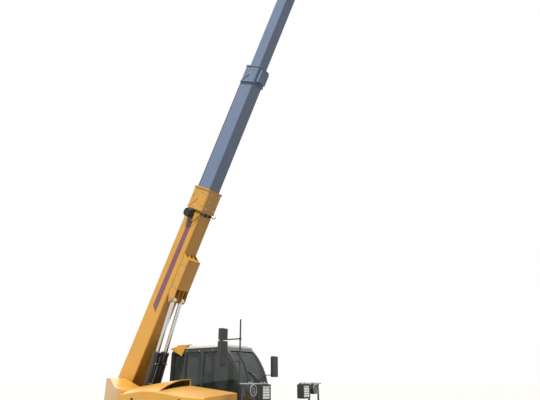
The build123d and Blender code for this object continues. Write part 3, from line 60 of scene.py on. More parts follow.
# Places on the machine, in metres, with X forward, Y to its left and Z up
AXLE_X = {"front": 0.450, "rear": -2.430}
AXLE_Z = 0.628
WHEEL_Y = 0.985
ON_BOOM = at((-3.160, 0.0, 1.606), -radians(63.45))
BASE = dict(width=0.360, height=0.468, end=4.600, head=0.500, band=0.026)
MIDDLE = dict(width=0.322, height=0.376, end=7.560, head=0.400, band=0.0223)
LIFT_Y = 0.110
ON_LIFT = at((-2.680, 0.0, 0.950), -radians(71.1))
CAB = dict(right=0.237, left=1.114, front=-0.250, top=2.400, floor=0.960)
SEAT = Vector((-1.500, 0.6755, 1.230))
CONSOLE_X = -0.430
RAIL_X = -1.305
HOOD = dict(outer=1.120, rear=-1.960, front=0.095, floor=1.385, parting=1.460)
BAY = dict(rear=-1.640, front=-0.340)
FENDER = dict(radius=0.804, outer=1.165)
LAMP_X = 0.850
BAR_Z = 1.735
LAMP_Y = 0.605
ROUND_Y = 0.930
TAIL = dict(rear=-3.780, top=1.150)
TAIL_LENS = (0.240 - 0.008) / 3
CARRIAGE_PIN = ON_BOOM @ Vector((10.870, 0.0, -0.800))

# The photo's camera, the daylight, and the floor's colour for the rays that only gather light
EYE = dict(place=(5.4545, -6.9068, 1.7636), turns=(111.55, 0.0, 35.34), lens=30.78, sensor=36.0, reach=900.0)
SUNS = (("sun", 4.8, 10.0, (-0.25, 0.52, -0.815)), ("fill", 1.0, 60.0, (0.55, -0.45, -0.70)))
SKY = 0.25
GROUND = (0.500, 0.500, 0.495)
FLOOR_REACH = 300.0

SWELL_FRAMES = 20
SIDES = (("left", 1.0), ("right", -1.0))
BOTH = (-1.0, 1.0)


# Shapes: each is a bmesh of its own, and joined() makes one of several

def block(lo, hi, edge=0.0, segments=2):
    """A box between two corners with its edges rounded."""
    bm = bmesh.new()
    bmesh.ops.create_cube(bm, size=1.0)
    lo, hi = Vector(lo), Vector(hi)
    size = Vector([abs(b - a) for a, b in zip(lo, hi)])
    bmesh.ops.scale(bm, vec=size, verts=bm.verts)
    bmesh.ops.translate(bm, vec=(lo + hi) / 2, verts=bm.verts)
    if edge > 0.0:
        soften(bm, edge, segments)
    return bm


def soften(bm, edge, segments=2, angle=30.0):
    """Rounds every edge of a shape that is sharper than an angle."""
    sharp = [e for e in bm.edges if len(e.link_faces) == 2 and e.calc_face_angle(0.0) > radians(angle)]
    bmesh.ops.bevel(bm, geom=sharp, offset=edge, offset_type="OFFSET", segments=segments, profile=0.5,
                    affect="EDGES", material=-1, clamp_overlap=True)


def rod(radius, start, end, sides=24, edge=0.0):
    """A round bar between two points."""
    start, end = Vector(start), Vector(end)
    way = end - start
    bm = bmesh.new()
    bmesh.ops.create_cone(bm, cap_ends=True, cap_tris=False, segments=sides, radius1=radius, radius2=radius,
                          depth=way.length)
    if edge > 0.0:
        soften(bm, edge, 1, 50.0)
    turn = way.to_track_quat("Z", "Y").to_matrix().to_4x4()
    bm.transform(Matrix.Translation((start + end) / 2) @ turn)
    return bm


def prism(outline, way):
    """A flat outline of points, made solid along a direction."""
    bm = bmesh.new()
    face = bm.faces.new([bm.verts.new(point) for point in outline])
    grown = bmesh.ops.extrude_face_region(bm, geom=[face])
    far = [v for v in grown["geom"] if isinstance(v, bmesh.types.BMVert)]
    bmesh.ops.translate(bm, vec=way, verts=far)
    bmesh.ops.recalc_face_normals(bm, faces=bm.faces)
    return bm


def turned(outline, steps):
    """A closed solid of revolution about the Y axis, from places along Y and radii."""
    bm = bmesh.new()
    verts = [bm.verts.new((0.0, y, r)) for y, r in outline]
    edges = [bm.edges.new(pair) for pair in zip(verts, verts[1:])]
    bmesh.ops.spin(bm, geom=verts + edges, cent=(0, 0, 0), axis=(0, 1, 0), dvec=(0, 0, 0), angle=2 * pi,
                   steps=steps, use_merge=True, use_duplicate=False)
    bmesh.ops.remove_doubles(bm, verts=bm.verts, dist=0.0001)
    loops = [e for e in bm.edges if e.is_boundary]
    if loops:
        bmesh.ops.holes_fill(bm, edges=loops, sides=0)
    bmesh.ops.recalc_face_normals(bm, faces=bm.faces)
    return bm


def bolt(point, way, across, washer=True):
    """A hexagon screw's head on its washer, standing out of a surface along a direction."""
    point, way = Vector(point), Vector(way).normalized()
    bm = rod(across * 0.577, point, point + way * across * 0.68, 6, across * 0.05)
    if washer:
        add(bm, rod(across * 0.92, point - way * 0.001, point + way * across * 0.14, 20, across * 0.03))
    return bm


def add(bm, part):
    """Joins a shape into another."""
    mesh = bpy.data.meshes.new("part")
    part.to_mesh(mesh)
    part.free()
    bm.from_mesh(mesh)
    bpy.data.meshes.remove(mesh)


def joined(parts, matrix=None):
    """One bmesh from several shapes."""
    bm = bmesh.new()
    for part in parts:
        add(bm, part)
    if matrix is not None:
        bm.transform(matrix)
    return bm


def mirrored(bm):
    """Turns a shape for the left side into one for the right."""
    bm.transform(Matrix.Scale(-1.0, 4, (0.0, 1.0, 0.0)))
    bmesh.ops.reverse_faces(bm, faces=bm.faces)


def ring(count, radius, shift=0.0):
    """Evenly spaced places on a circle, as pairs of coordinates."""
    angles = [2 * pi * (i + shift) / count for i in range(count)]
    return [(cos(a) * radius, sin(a) * radius) for a in angles]


def on_wheels(bm):
    """The shape of a left wheel's fittings about its hub, for each wheel in turn."""
    for place, x in AXLE_X.items():
        for side, s in SIDES:
            one = bm.copy()
            if side == "right":
                mirrored(one)
            one.transform(at((x, s * WHEEL_Y, AXLE_Z)))
            yield f"{place}_{side}", one
    bm.free()


def new_object(name, bm):
    """Links a new object with a shape of its own."""
    mesh = bpy.data.meshes.new(name)
    bm.to_mesh(mesh)
    bm.free()
    obj = bpy.data.objects.new(name, mesh)
    bpy.context.scene.collection.objects.link(obj)
    return obj


def picked(obj):
    """Makes an object the only selected one and the active one."""
    for other in bpy.context.selected_objects:
        other.select_set(False)
    obj.select_set(True)
    bpy.context.view_layer.objects.active = obj


def mesh_of(raw):
    """A shape from an object's evaluated mesh, with the object deleted."""
    mesh = bpy.data.meshes.new_from_object(raw)
    bpy.data.objects.remove(raw)
    bm = bmesh.new()
    bm.from_mesh(mesh)
    bpy.data.meshes.remove(mesh)
    return bm


def piece(name, bm, body, finish, smooth=35.0, replaces=()):
    """Makes a finished object of a shape, riding on one of the machine's bodies."""
    obj = new_object(name, bm)
    obj.data.shade_smooth()
    obj.data.set_sharp_from_angle(angle=radians(smooth))
    obj.data.materials.append(FINISHES[finish])
    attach(obj, body)
    if replaces:
        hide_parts(*replaces)


def screws(name, parts, body="chassis", matrix=None):
    """A piece of zinc-plated screws, nuts and plates."""
    piece(name, joined(parts, matrix), body, "zinc")


def moulding(name, parts, body="chassis", matrix=None, finish="black_plastic", replaces=()):
    """A piece of moulded plastic."""
    piece(name, joined(parts, matrix), body, finish, replaces=replaces)


def hose(name, routes, radius, body="chassis", place=Matrix(), finish="seal_rubber"):
    """Bent round bars along smooth routes, each given by a few points."""
    curve = bpy.data.curves.new(name, "CURVE")
    curve.dimensions = "3D"
    curve.bevel_depth = radius
    curve.bevel_resolution = 3
    curve.use_fill_caps = True
    for route in routes:
        line = curve.splines.new("NURBS")
        line.points.add(len(route) - 1)
        for point, co in zip(line.points, route):
            point.co = (*(place @ Vector(co)), 1.0)
        line.order_u = 3
        line.use_endpoint_u = True
        line.resolution_u = 8
    bm = mesh_of(bpy.data.objects.new(name + "_line", curve))
    bpy.data.curves.remove(curve)
    piece(name, bm, body, finish, smooth=60.0)


# Finishes: procedural materials, in metres on Object coordinates

FINISHES = {}


def linear(colour):
    """Turns a colour as it is seen on screen into the light that the renderer works in."""
    return [c / 12.92 if c <= 0.04045 else ((c + 0.055) / 1.055) ** 2.4 for c in colour] + [1.0]


def scaled(colour, factor, lift=0.0):
    """A colour made darker or paler by a factor."""
    return [min(1.0, c * factor + lift) for c in colour[:3]] + [1.0]


class Graph:
    """A material's nodes, wired by name."""

    def __init__(self, name):
        self.material = bpy.data.materials.new(name)
        self.material.use_nodes = True
        self.tree = self.material.node_tree
        self.surface = self.tree.nodes["Principled BSDF"]
        self.place = self.node("ShaderNodeTexCoord").outputs["Object"]
        FINISHES[name] = self.material

    def node(self, kind, links=(), **settings):
        made = self.tree.nodes.new(kind)
        for key, value in settings.items():
            setattr(made, key, value)
        for socket, value in dict(links).items():
            self.wire(made.inputs[socket], value)
        return made

    def wire(self, socket, value):
        if isinstance(value, bpy.types.NodeSocket):
            self.tree.links.new(value, socket)
        else:
            socket.default_value = value

    def set(self, **values):
        for key, value in values.items():
            self.wire(self.surface.inputs[key.replace("_", " ")], value)

    def noise(self, scale, detail=4.0, roughness=0.5, vector=None):
        return self.node("ShaderNodeTexNoise", {
            "Vector": vector or self.place, "Scale": scale, "Detail": detail, "Roughness": roughness,
        }).outputs["Fac"]

    def ramp(self, value, low, high, out_low=0.0, out_high=1.0):
        return self.node("ShaderNodeMapRange", {
            "Value": value, "From Min": low, "From Max": high, "To Min": out_low, "To Max": out_high,
        }).outputs["Result"]

    def math(self, operation, a, b):
        return self.node("ShaderNodeMath", {0: a, 1: b}, operation=operation).outputs[0]

    def times(self, a, b):
        return self.math("MULTIPLY", a, b)

    def mix(self, factor, a, b):
        made = self.node("ShaderNodeMix", {"Factor": factor}, data_type="RGBA")
        self.wire(made.inputs[6], a)
        self.wire(made.inputs[7], b)
        return made.outputs[2]

    def stretched(self, scale):
        return self.node("ShaderNodeMapping", {"Vector": self.place, "Scale": scale}).outputs["Vector"]

    def height(self):
        return self.node("ShaderNodeSeparateXYZ", {"Vector": self.place}).outputs["Z"]

    def bump(self, value, strength, distance, normal=None):
        links = {"Height": value, "Strength": strength, "Distance": distance}
        if normal is not None:
            links["Normal"] = normal
        return self.node("ShaderNodeBump", links).outputs["Normal"]

    def rounded(self, radius):
        return self.node("ShaderNodeBevel", {"Radius": radius}, samples=4).outputs["Normal"]

    def edges(self, radius):
        """How near a place is to a sharp edge: 0 on flats and 1 on edges."""
        flat = self.node("ShaderNodeNewGeometry").outputs["Normal"]
        along = self.node("ShaderNodeVectorMath", {0: self.rounded(radius), 1: flat}, operation="DOT_PRODUCT")
        return self.ramp(along.outputs["Value"], 0.98, 0.80)


def paint(name, colour, dust, worn, rough, reach, amount, streaks=0.0):
    """Sprayed enamel: slightly uneven, dusty low down, rubbed along its edges."""
    g = Graph(name)
    base = linear(colour)
    shade = scaled(base, 0.80)
    cloud = g.ramp(g.noise(1.9, 5.0, 0.6), 0.35, 0.70)
    tone = g.mix(g.times(cloud, 0.55), base, shade)
    low = g.ramp(g.height(), 0.2, reach, 1.0, 0.06)
    speck = g.ramp(g.noise(14.0, 8.0, 0.68), 0.42, 0.72)
    film = g.times(g.times(speck, low), amount)
    tone = g.mix(film, tone, linear(dust))
    if streaks > 0.0:
        run = g.ramp(g.noise(1.0, 6.0, 0.7, g.stretched((26.0, 26.0, 1.4))), 0.56, 0.74)
        tone = g.mix(g.times(run, streaks), tone, shade)
    rub = g.times(g.edges(0.006), g.ramp(g.noise(38.0, 6.0, 0.7), 0.50, 0.66))
    tone = g.mix(g.times(rub, 0.75), tone, linear(worn))
    roughness = g.math("ADD", g.ramp(g.noise(22.0, 5.0), 0.3, 0.7, rough - 0.06, rough + 0.10), g.times(film, 0.4))
    peel = g.bump(g.noise(420.0, 2.0), 0.10, 0.0006, g.rounded(0.0025))
    g.set(Base_Color=tone, Roughness=roughness, Normal=peel, Coat_Weight=0.25, Coat_Roughness=0.18)


def rubber(name, colour, dust, reach, amount):
    """Tyre and seal rubber: matte, scuffed, with dry dust in it."""
    g = Graph(name)
    scuff = g.ramp(g.noise(70.0, 6.0, 0.6), 0.30, 0.85)
    cloud = g.ramp(g.noise(3.5, 3.0, 0.5), 0.30, 0.80, 0.35, 1.0)
    low = g.ramp(g.height(), 0.0, reach, 1.0, 0.45)
    film = g.times(g.times(scuff, cloud), g.times(low, amount))
    g.set(Base_Color=g.mix(film, linear(colour), linear(dust)),
          Roughness=g.ramp(g.noise(60.0, 4.0), 0.3, 0.7, 0.62, 0.86),
          Normal=g.bump(g.noise(260.0, 5.0, 0.6), 0.30, 0.0010), Specular_IOR_Level=0.35)


def plastic(name, colour, rough=0.5):
    """Moulded plastic with a fine leather grain."""
    g = Graph(name)
    base = linear(colour)
    cells = g.node("ShaderNodeTexVoronoi", {"Vector": g.place, "Scale": 450.0}).outputs["Distance"]
    fade = g.ramp(g.noise(6.0, 6.0, 0.65), 0.40, 0.75)
    g.set(Base_Color=g.mix(g.times(fade, 0.5), base, scaled(base, 1.5, 0.01)),
          Roughness=g.ramp(g.noise(18.0, 4.0), 0.3, 0.7, rough - 0.08, rough + 0.12),
          Normal=g.bump(cells, 0.22, 0.0006, g.rounded(0.002)))


def metal(name, colour, rough, lines, stain, metallic=1.0, relief=0.06):
    """Bare or plated metal with fine scratches and handling stains."""
    g = Graph(name)
    base = linear(colour)
    blot = g.ramp(g.noise(9.0, 7.0, 0.65), 0.45, 0.75)
    scratch = g.noise(1.0, 3.0, 0.6, g.stretched((lines, lines, 12.0))) if lines else g.noise(160.0, 4.0)
    g.set(Base_Color=g.mix(g.times(blot, stain), base, scaled(base, 0.55)), Metallic=metallic,
          Roughness=g.math("ADD", g.ramp(scratch, 0.3, 0.7, rough * 0.7, rough * 1.35), g.times(blot, 0.10)),
          Normal=g.bump(scratch, relief, 0.0005))


def iron(name, colour, rust):
    """Rough cast iron with rust coming through in places."""
    g = Graph(name)
    patch = g.ramp(g.noise(7.0, 8.0, 0.7), 0.50, 0.72)
    g.set(Base_Color=g.mix(g.times(patch, 0.6), linear(colour), linear(rust)), Metallic=0.35,
          Roughness=g.ramp(g.noise(40.0, 6.0), 0.3, 0.7, 0.55, 0.85),
          Normal=g.bump(g.noise(140.0, 6.0, 0.7), 0.5, 0.0015, g.rounded(0.004)))


def glazing(name, colour):
    """Tinted safety glass under a thin film of dust, thicker low down."""
    g = Graph(name)
    low = g.ramp(g.height(), 1.2, 2.2, 1.0, 0.35)
    film = g.times(g.ramp(g.noise(4.0, 3.0, 0.6), 0.40, 0.80, 0.0, 0.15), low)
    g.set(Base_Color=g.mix(film, linear(colour), linear((0.55, 0.54, 0.50))),
          Roughness=g.ramp(film, 0.0, 0.22, 0.02, 0.16), Alpha=g.ramp(film, 0.0, 0.22, 0.62, 0.74),
          IOR=1.50, Coat_Weight=0.15, Coat_Roughness=0.02)


def lens(name, colour, glow=0.0, cell=90.0):
    """Moulded lamp lens with a pattern of small prisms."""
    g = Graph(name)
    base = linear(colour)
    cells = g.node("ShaderNodeTexVoronoi", {"Vector": g.place, "Scale": cell}, distance="CHEBYCHEV").outputs[0]
    edge = g.ramp(cells, 0.25, 0.55)
    g.set(Base_Color=g.mix(g.times(edge, 0.7), base, scaled(base, 0.72)), Roughness=0.12, Transmission_Weight=glow,
          Normal=g.bump(cells, 0.4, 0.0012), Coat_Weight=0.6, Coat_Roughness=0.05)


def cloth(name, colour, thread):
    """Woven seat cover with the weave's two thread directions."""
    g = Graph(name)
    waves = [g.node("ShaderNodeTexWave", {"Vector": g.place, "Scale": 190.0, "Distortion": 0.6,
                                          "Detail": 2.0, "Detail Scale": 3.0},
                    bands_direction=way).outputs["Fac"] for way in ("X", "Y", "Z")]
    weave = g.math("ADD", g.times(waves[0], waves[1]), g.times(waves[2], 0.5))
    worn = g.ramp(g.noise(7.0, 6.0, 0.6), 0.40, 0.75)
    tone = g.mix(g.ramp(weave, 0.2, 1.1), linear(colour), linear(thread))
    g.set(Base_Color=g.mix(g.times(worn, 0.25), tone, scaled(linear(thread), 1.4)), Roughness=0.88,
          Normal=g.bump(weave, 0.5, 0.0012), Sheen_Weight=0.4, Sheen_Roughness=0.45)


# What a user would change

class TelehandlerColours(bpy.types.PropertyGroup):
    yellow: bpy.props.FloatVectorProperty(
        name="Body yellow", description="Enamel of the boom's base, the hood and the chassis",
        default=(0.820, 0.605, 0.235), subtype="COLOR_GAMMA", min=0.0, max=1.0)
    slate: bpy.props.FloatVectorProperty(
        name="Boom slate", description="Enamel of the boom's two inner sections",
        default=(0.415, 0.485, 0.600), subtype="COLOR_GAMMA", min=0.0, max=1.0)
    black: bpy.props.FloatVectorProperty(
        name="Cab black", description="Enamel of the cab's frame, cylinders and axles",
        default=(0.150, 0.155, 0.165), subtype="COLOR_GAMMA", min=0.0, max=1.0)
    pale: bpy.props.FloatVectorProperty(
        name="Pale grey", description="Enamel of the cab's roof and the rims",
        default=(0.780, 0.775, 0.750), subtype="COLOR_GAMMA", min=0.0, max=1.0)
    stripe: bpy.props.FloatVectorProperty(
        name="Stripe", description="Plain stripe along the boom's side",
        default=(0.470, 0.290, 0.320), subtype="COLOR_GAMMA", min=0.0, max=1.0)
    dust: bpy.props.FloatVectorProperty(
        name="Dust", description="Dry dust on the lower parts",
        default=(0.640, 0.590, 0.500), subtype="COLOR_GAMMA", min=0.0, max=1.0)


class TelehandlerSizes(bpy.types.PropertyGroup):
    lug_count: bpy.props.IntProperty(
        name="Lugs", description="Number of lugs on each half of a tyre's tread", default=19, min=8, max=40)
    lug_height: bpy.props.FloatProperty(
        name="Lug height", description="How far the lugs stand out of the tread", default=0.034,
        subtype="DISTANCE", unit="LENGTH")
    nut_size: bpy.props.FloatProperty(
        name="Wheel nut", description="Width across a wheel nut", default=0.032, subtype="DISTANCE", unit="LENGTH")
    nut_count: bpy.props.IntProperty(
        name="Wheel nuts", description="Number of nuts on each wheel", default=12, min=4, max=20)
    bolt_size: bpy.props.FloatProperty(
        name="Boom bolt", description="Width across the bolts on the boom's heads", default=0.024,
        subtype="DISTANCE", unit="LENGTH")
    seal_radius: bpy.props.FloatProperty(
        name="Window seal", description="Radius of the rubber bead round each pane", default=0.009,
        subtype="DISTANCE", unit="LENGTH")
    cable_radius: bpy.props.FloatProperty(
        name="Cable", description="Radius of the thin cables at the boom's reel", default=0.006,
        subtype="DISTANCE", unit="LENGTH")
    hose_radius: bpy.props.FloatProperty(
        name="Hose", description="Radius of the hydraulic hoses", default=0.010,
        subtype="DISTANCE", unit="LENGTH")


class TELEHANDLER_OT_finishes(bpy.types.Operator):
    """Makes the finishes and gives every CAD node its own"""
    bl_idname = "telehandler.finishes"
    bl_label = "Finishes"

    def execute(self, context):
        c = context.scene.telehandler_colours
        paint("yellow_paint", c.yellow, c.dust, (0.52, 0.47, 0.38), 0.36, 1.5, 0.45, streaks=0.20)
        paint("slate_paint", c.slate, c.dust, (0.55, 0.56, 0.58), 0.40, 3.0, 0.35, streaks=0.35)
        paint("black_paint", c.black, c.dust, (0.42, 0.41, 0.40), 0.42, 1.4, 0.55)
        paint("pale_paint", c.pale, c.dust, (0.50, 0.49, 0.46), 0.40, 1.3, 0.55)
        paint("stripe_paint", c.stripe, c.dust, (0.60, 0.42, 0.40), 0.38, 1.5, 0.30)
        rubber("tyre", (0.130, 0.130, 0.135), c.dust, 1.2, 0.60)
        rubber("seal_rubber", (0.085, 0.085, 0.090), c.dust, 2.0, 0.25)
        plastic("black_plastic", (0.140, 0.142, 0.150))
        plastic("grey_plastic", (0.360, 0.370, 0.380), 0.45)
        metal("chrome_rod", (0.80, 0.81, 0.82), 0.10, 60.0, 0.10)
        metal("zinc", (0.66, 0.66, 0.64), 0.34, 0.0, 0.40)
        metal("fork_steel", (0.26, 0.26, 0.27), 0.42, 30.0, 0.50, 0.8, 0.15)
        metal("mirror_face", (0.90, 0.91, 0.92), 0.03, 0.0, 0.03)
        iron("cast_iron", (0.300, 0.300, 0.305), (0.38, 0.27, 0.20))
        glazing("glass", (0.105, 0.160, 0.140))
        lens("clear_lens", (0.88, 0.90, 0.91), 0.30)
        lens("teal_lens", (0.18, 0.27, 0.30), 0.20, 70.0)
        lens("red_lens", (0.62, 0.06, 0.06))
        lens("amber_lens", (0.86, 0.42, 0.06))
        lens("white_cell", (0.93, 0.94, 0.95), 0.0, 40.0)
        cloth("seat_cloth", (0.145, 0.148, 0.160), (0.26, 0.265, 0.28))
        special = {"forks": "fork_steel", "headlamps": "black_plastic", "tail_lamps": "black_plastic"}
        slots = {row["node"]: row["material_slot"] for row in frame["record"]["subparts"]}
        for node, obj in frame["nodes"].items():
            obj.data.materials.clear()
            obj.data.materials.append(FINISHES[special.get(node, slots[node])])
        return {"FINISHED"}


def looked_at(tree):
    """1 for rays from the camera and from glossy or clear surfaces, and 0 for rays that gather light."""
    path = tree.nodes.new("ShaderNodeLightPath").outputs
    seen = path["Is Camera Ray"]
    for name in ("Is Glossy Ray", "Is Transmission Ray"):
        most = tree.nodes.new("ShaderNodeMath")
        most.operation = "MAXIMUM"
        tree.links.new(seen, most.inputs[0])
        tree.links.new(path[name], most.inputs[1])
        seen = most.outputs[0]
    return seen


class TELEHANDLER_OT_stage(bpy.types.Operator):
    """Sets the pale floor, the soft daylight and the camera"""
    bl_idname = "telehandler.stage"
    bl_label = "Stage, light and camera"

    def execute(self, context):
        scene = context.scene
        bm = bmesh.new()
        bmesh.ops.create_grid(bm, x_segments=1, y_segments=1, size=FLOOR_REACH)
        floor = new_object("floor", bm)
        g = Graph("pale_floor")
        spots = g.ramp(g.noise(0.8, 6.0, 0.6), 0.35, 0.70)
        pale = g.mix(g.times(spots, 0.4), linear((0.780, 0.780, 0.770)), linear((0.750, 0.750, 0.740)))
        g.set(Base_Color=g.mix(looked_at(g.tree), linear(GROUND), pale), Roughness=0.85)
        floor.data.materials.append(g.material)

        world = bpy.data.worlds.new("daylight")
        world.use_nodes = True
        tree = world.node_tree
        tree.nodes.clear()
        mixed = tree.nodes.new("ShaderNodeMixShader")
        tree.links.new(looked_at(tree), mixed.inputs[0])
        for socket, colour, strength in ((1, (0.93, 0.96, 1.0, 1.0), SKY), (2, (1.0, 1.0, 1.0, 1.0), 1.0)):
            shade = tree.nodes.new("ShaderNodeBackground")
            shade.inputs["Color"].default_value = colour
            shade.inputs["Strength"].default_value = strength
            tree.links.new(shade.outputs[0], mixed.inputs[socket])
        tree.links.new(mixed.outputs[0], tree.nodes.new("ShaderNodeOutputWorld").inputs[0])
        scene.world = world

        for name, energy, angle, way in SUNS:
            lamp = bpy.data.lights.new(name, "SUN")
            lamp.energy = energy
            lamp.angle = radians(angle)
            lamp.color = (1.0, 0.97, 0.92)
            sun = bpy.data.objects.new(name, lamp)
            sun.rotation_euler = Vector(way).to_track_quat("-Z", "Y").to_euler()
            scene.collection.objects.link(sun)

        data = bpy.data.cameras.new("camera")
        data.lens = EYE["lens"]
        data.sensor_width = EYE["sensor"]
        data.clip_end = EYE["reach"]
        camera = bpy.data.objects.new("camera", data)
        camera.location = EYE["place"]
        camera.rotation_euler = [radians(turn) for turn in EYE["turns"]]
        scene.collection.objects.link(camera)
        scene.camera = camera
        scene.view_settings.view_transform = "Standard"
        return {"FINISHED"}


def lug(height):
    """One bar of the tread at the top of the left tyre, its crown narrower than its foot."""
    top, low = 0.6210, 0.5640
    outline = ((-0.012, low), (-0.012, top), (0.140, top - 0.004), (0.192, top - 0.034), (0.198, low - 0.036),
               (0.140, low))
    bm = prism([(-0.025, y, z) for y, z in outline], (0.050, 0.0, 0.0))
    for v in bm.verts:
        share = max(0.0, (v.co.z - (top - height)) / height)
        v.co.x *= 1.0 - 0.34 * min(1.0, share)
    soften(bm, 0.0045, angle=25.0)
    return bm


class TELEHANDLER_OT_tyres(bpy.types.Operator):
    """Moulded tyres with slanted lugs, sidewall ribs and bead cords"""
    bl_idname = "telehandler.tyres"
    bl_label = "Tyres"

    def execute(self, context):
        sizes = context.scene.telehandler_sizes
        outline = [(-0.141, 0.3055), (-0.160, 0.318), (-0.172, 0.336), (-0.179, 0.360), (-0.186, 0.392),
                   (-0.1905, 0.394), (-0.1905, 0.402), (-0.188, 0.404), (-0.196, 0.448), (-0.1995, 0.470),
                   (-0.199, 0.500), (-0.195, 0.522), (-0.1975, 0.524), (-0.1975, 0.530), (-0.193, 0.533),
                   (-0.186, 0.548), (-0.168, 0.571), (-0.130, 0.586), (-0.070, 0.592), (0.0, 0.594)]
        outline += [(-y, r) for y, r in reversed(outline[:-1])]
        carcass = turned(outline + outline[:1], 112)
        pitch = 2 * pi / sizes.lug_count
        slant = at((0.0, 0.100, 0.0), radians(24.0), "Z") @ at((0.0, -0.100, 0.0))
        parts = [carcass]
        for i in range(sizes.lug_count):
            for half in (0.0, 0.5):
                one = lug(sizes.lug_height)
                one.transform(slant)
                if half:
                    mirrored(one)
                one.transform(Matrix.Rotation((i + half) * pitch, 4, "Y"))
                parts.append(one)
        tyre = joined(parts)
        for wheel, bm in on_wheels(tyre):
            piece(f"moulded_tyre_{wheel}", bm, f"wheel_{wheel}", "tyre", replaces=(f"tyre_{wheel}",))
        return {"FINISHED"}


class TELEHANDLER_OT_wheel_nuts(bpy.types.Operator):
    """Nuts, studs, valves and hub plugs on the four rims"""
    bl_idname = "telehandler.wheel_nuts"
    bl_label = "Wheel nuts"

    def execute(self, context):
        sizes = context.scene.telehandler_sizes
        rim, hub, out = 0.063, 0.150, (0.0, 1.0, 0.0)
        parts = []
        for x, z in ring(sizes.nut_count, 0.196):
            parts.append(bolt((x, rim, z), out, sizes.nut_size))
            parts.append(rod(0.009, (x, rim, z), (x, rim + 0.034, z), 12, 0.001))
        parts += [bolt((x, hub, z), out, 0.014) for x, z in ring(8, 0.052, 0.5)]
        parts.append(bolt((0.0, hub, 0.0), out, 0.030))
        parts.append(rod(0.005, (0.0, 0.100, 0.276), (0.0, hub, 0.262), 10, 0.001))
        for wheel, bm in on_wheels(joined(parts)):
            piece(f"wheel_nuts_{wheel}", bm, f"wheel_{wheel}", "zinc")
        return {"FINISHED"}


def head_bolts(section, size):
    """The bolts round a boom section's head, in the boom's frame."""
    start = section["end"] - section["head"]
    side, roof = section["width"] / 2 + section["band"], section["height"] / 2 + section["band"]
    bolts = []
    for share, n in ((0.24, -0.72), (0.80, -0.30), (0.80, -0.72), (0.60, 0.76), (0.12, 0.25)):
        s = start + section["head"] * share
        bolts += [bolt((s, y * side, n * section["height"] / 2), (0.0, y, 0.0), size) for y in BOTH]
    for share in (0.16, 0.50, 0.84):
        s = start + section["head"] * share
        bolts += [bolt((s, y * section["width"], n * roof), (0.0, 0.0, n), size) for y in (-0.30, 0.30) for n in BOTH]
    return bolts


def pin_plate(s0, s1, n, half, face, y, hole):
    """A plate that keeps a pin from turning, with its screw, in the boom's frame."""
    return [block((s0, face, n - half), (s1, face + y * 0.008, n + half), 0.002),
            bolt((hole, face + y * 0.008, n), (0.0, y, 0.0), 0.016)]


class TELEHANDLER_OT_boom_fittings(bpy.types.Operator):
    """Bolts, weld beads, pin plates and the plain stripe on the boom's sections"""
    bl_idname = "telehandler.boom_fittings"
    bl_label = "Boom fittings"

    def execute(self, context):
        size = context.scene.telehandler_sizes.bolt_size
        screws("base_head_bolts", head_bolts(BASE, size), "boom_base", ON_BOOM)
        screws("middle_head_bolts", head_bolts(MIDDLE, size * 0.85), "boom_middle", ON_BOOM)
        side, low = BASE["width"] / 2, -BASE["height"] / 2
        beads = [block((s0, y - 0.005, low - 0.0035), (s1, y + 0.005, low + 0.002), 0.002)
                 for y in (-0.128, 0.128) for s0, s1 in ((0.66, 2.20), (3.16, 4.09))]
        beads += [block((2.30, y * side - 0.003, low - 0.006), (3.10, y * side + 0.003, low + 0.012), 0.002)
                  for y in BOTH]
        piece("base_weld_beads", joined(beads, ON_BOOM), "boom_base", "yellow_paint")
        corners = ((1.76, -0.088), (1.86, 0.062), (3.90, 0.040), (3.80, -0.098))
        band = prism([(s, -side - 0.0012, n) for s, n in corners], (0.0, 0.0022, 0.0))
        piece("side_stripe", joined([band], ON_BOOM), "boom_base", "stripe_paint")
        tip, bracket = [], []
        for y in BOTH:
            for s, out, n in ((10.42, 0.132, 0.10), (10.42, 0.132, -0.10), (10.55, 0.1205, -0.16),
                              (10.62, 0.1205, -0.36), (10.72, 0.1205, -0.58)):
                tip.append(bolt((s, y * out, n), (0.0, y, 0.0), 0.020))
            tip += pin_plate(10.535, 10.645, 0.130, 0.014, y * 0.133, y, 10.630)
            for s, n in ((2.42, -0.28), (2.42, -0.39), (2.70, -0.30), (2.92, -0.30), (2.92, -0.40)):
                bracket.append(bolt((s, y * 0.175, n), (0.0, y, 0.0), 0.020))
            bracket += pin_plate(2.12, 2.24, -0.380, 0.016, y * 0.189, y, 2.22)
        screws("tip_pin_plates", tip, "boom_tip", ON_BOOM)
        screws("bracket_bolts", bracket, "boom_base", ON_BOOM)
        return {"FINISHED"}


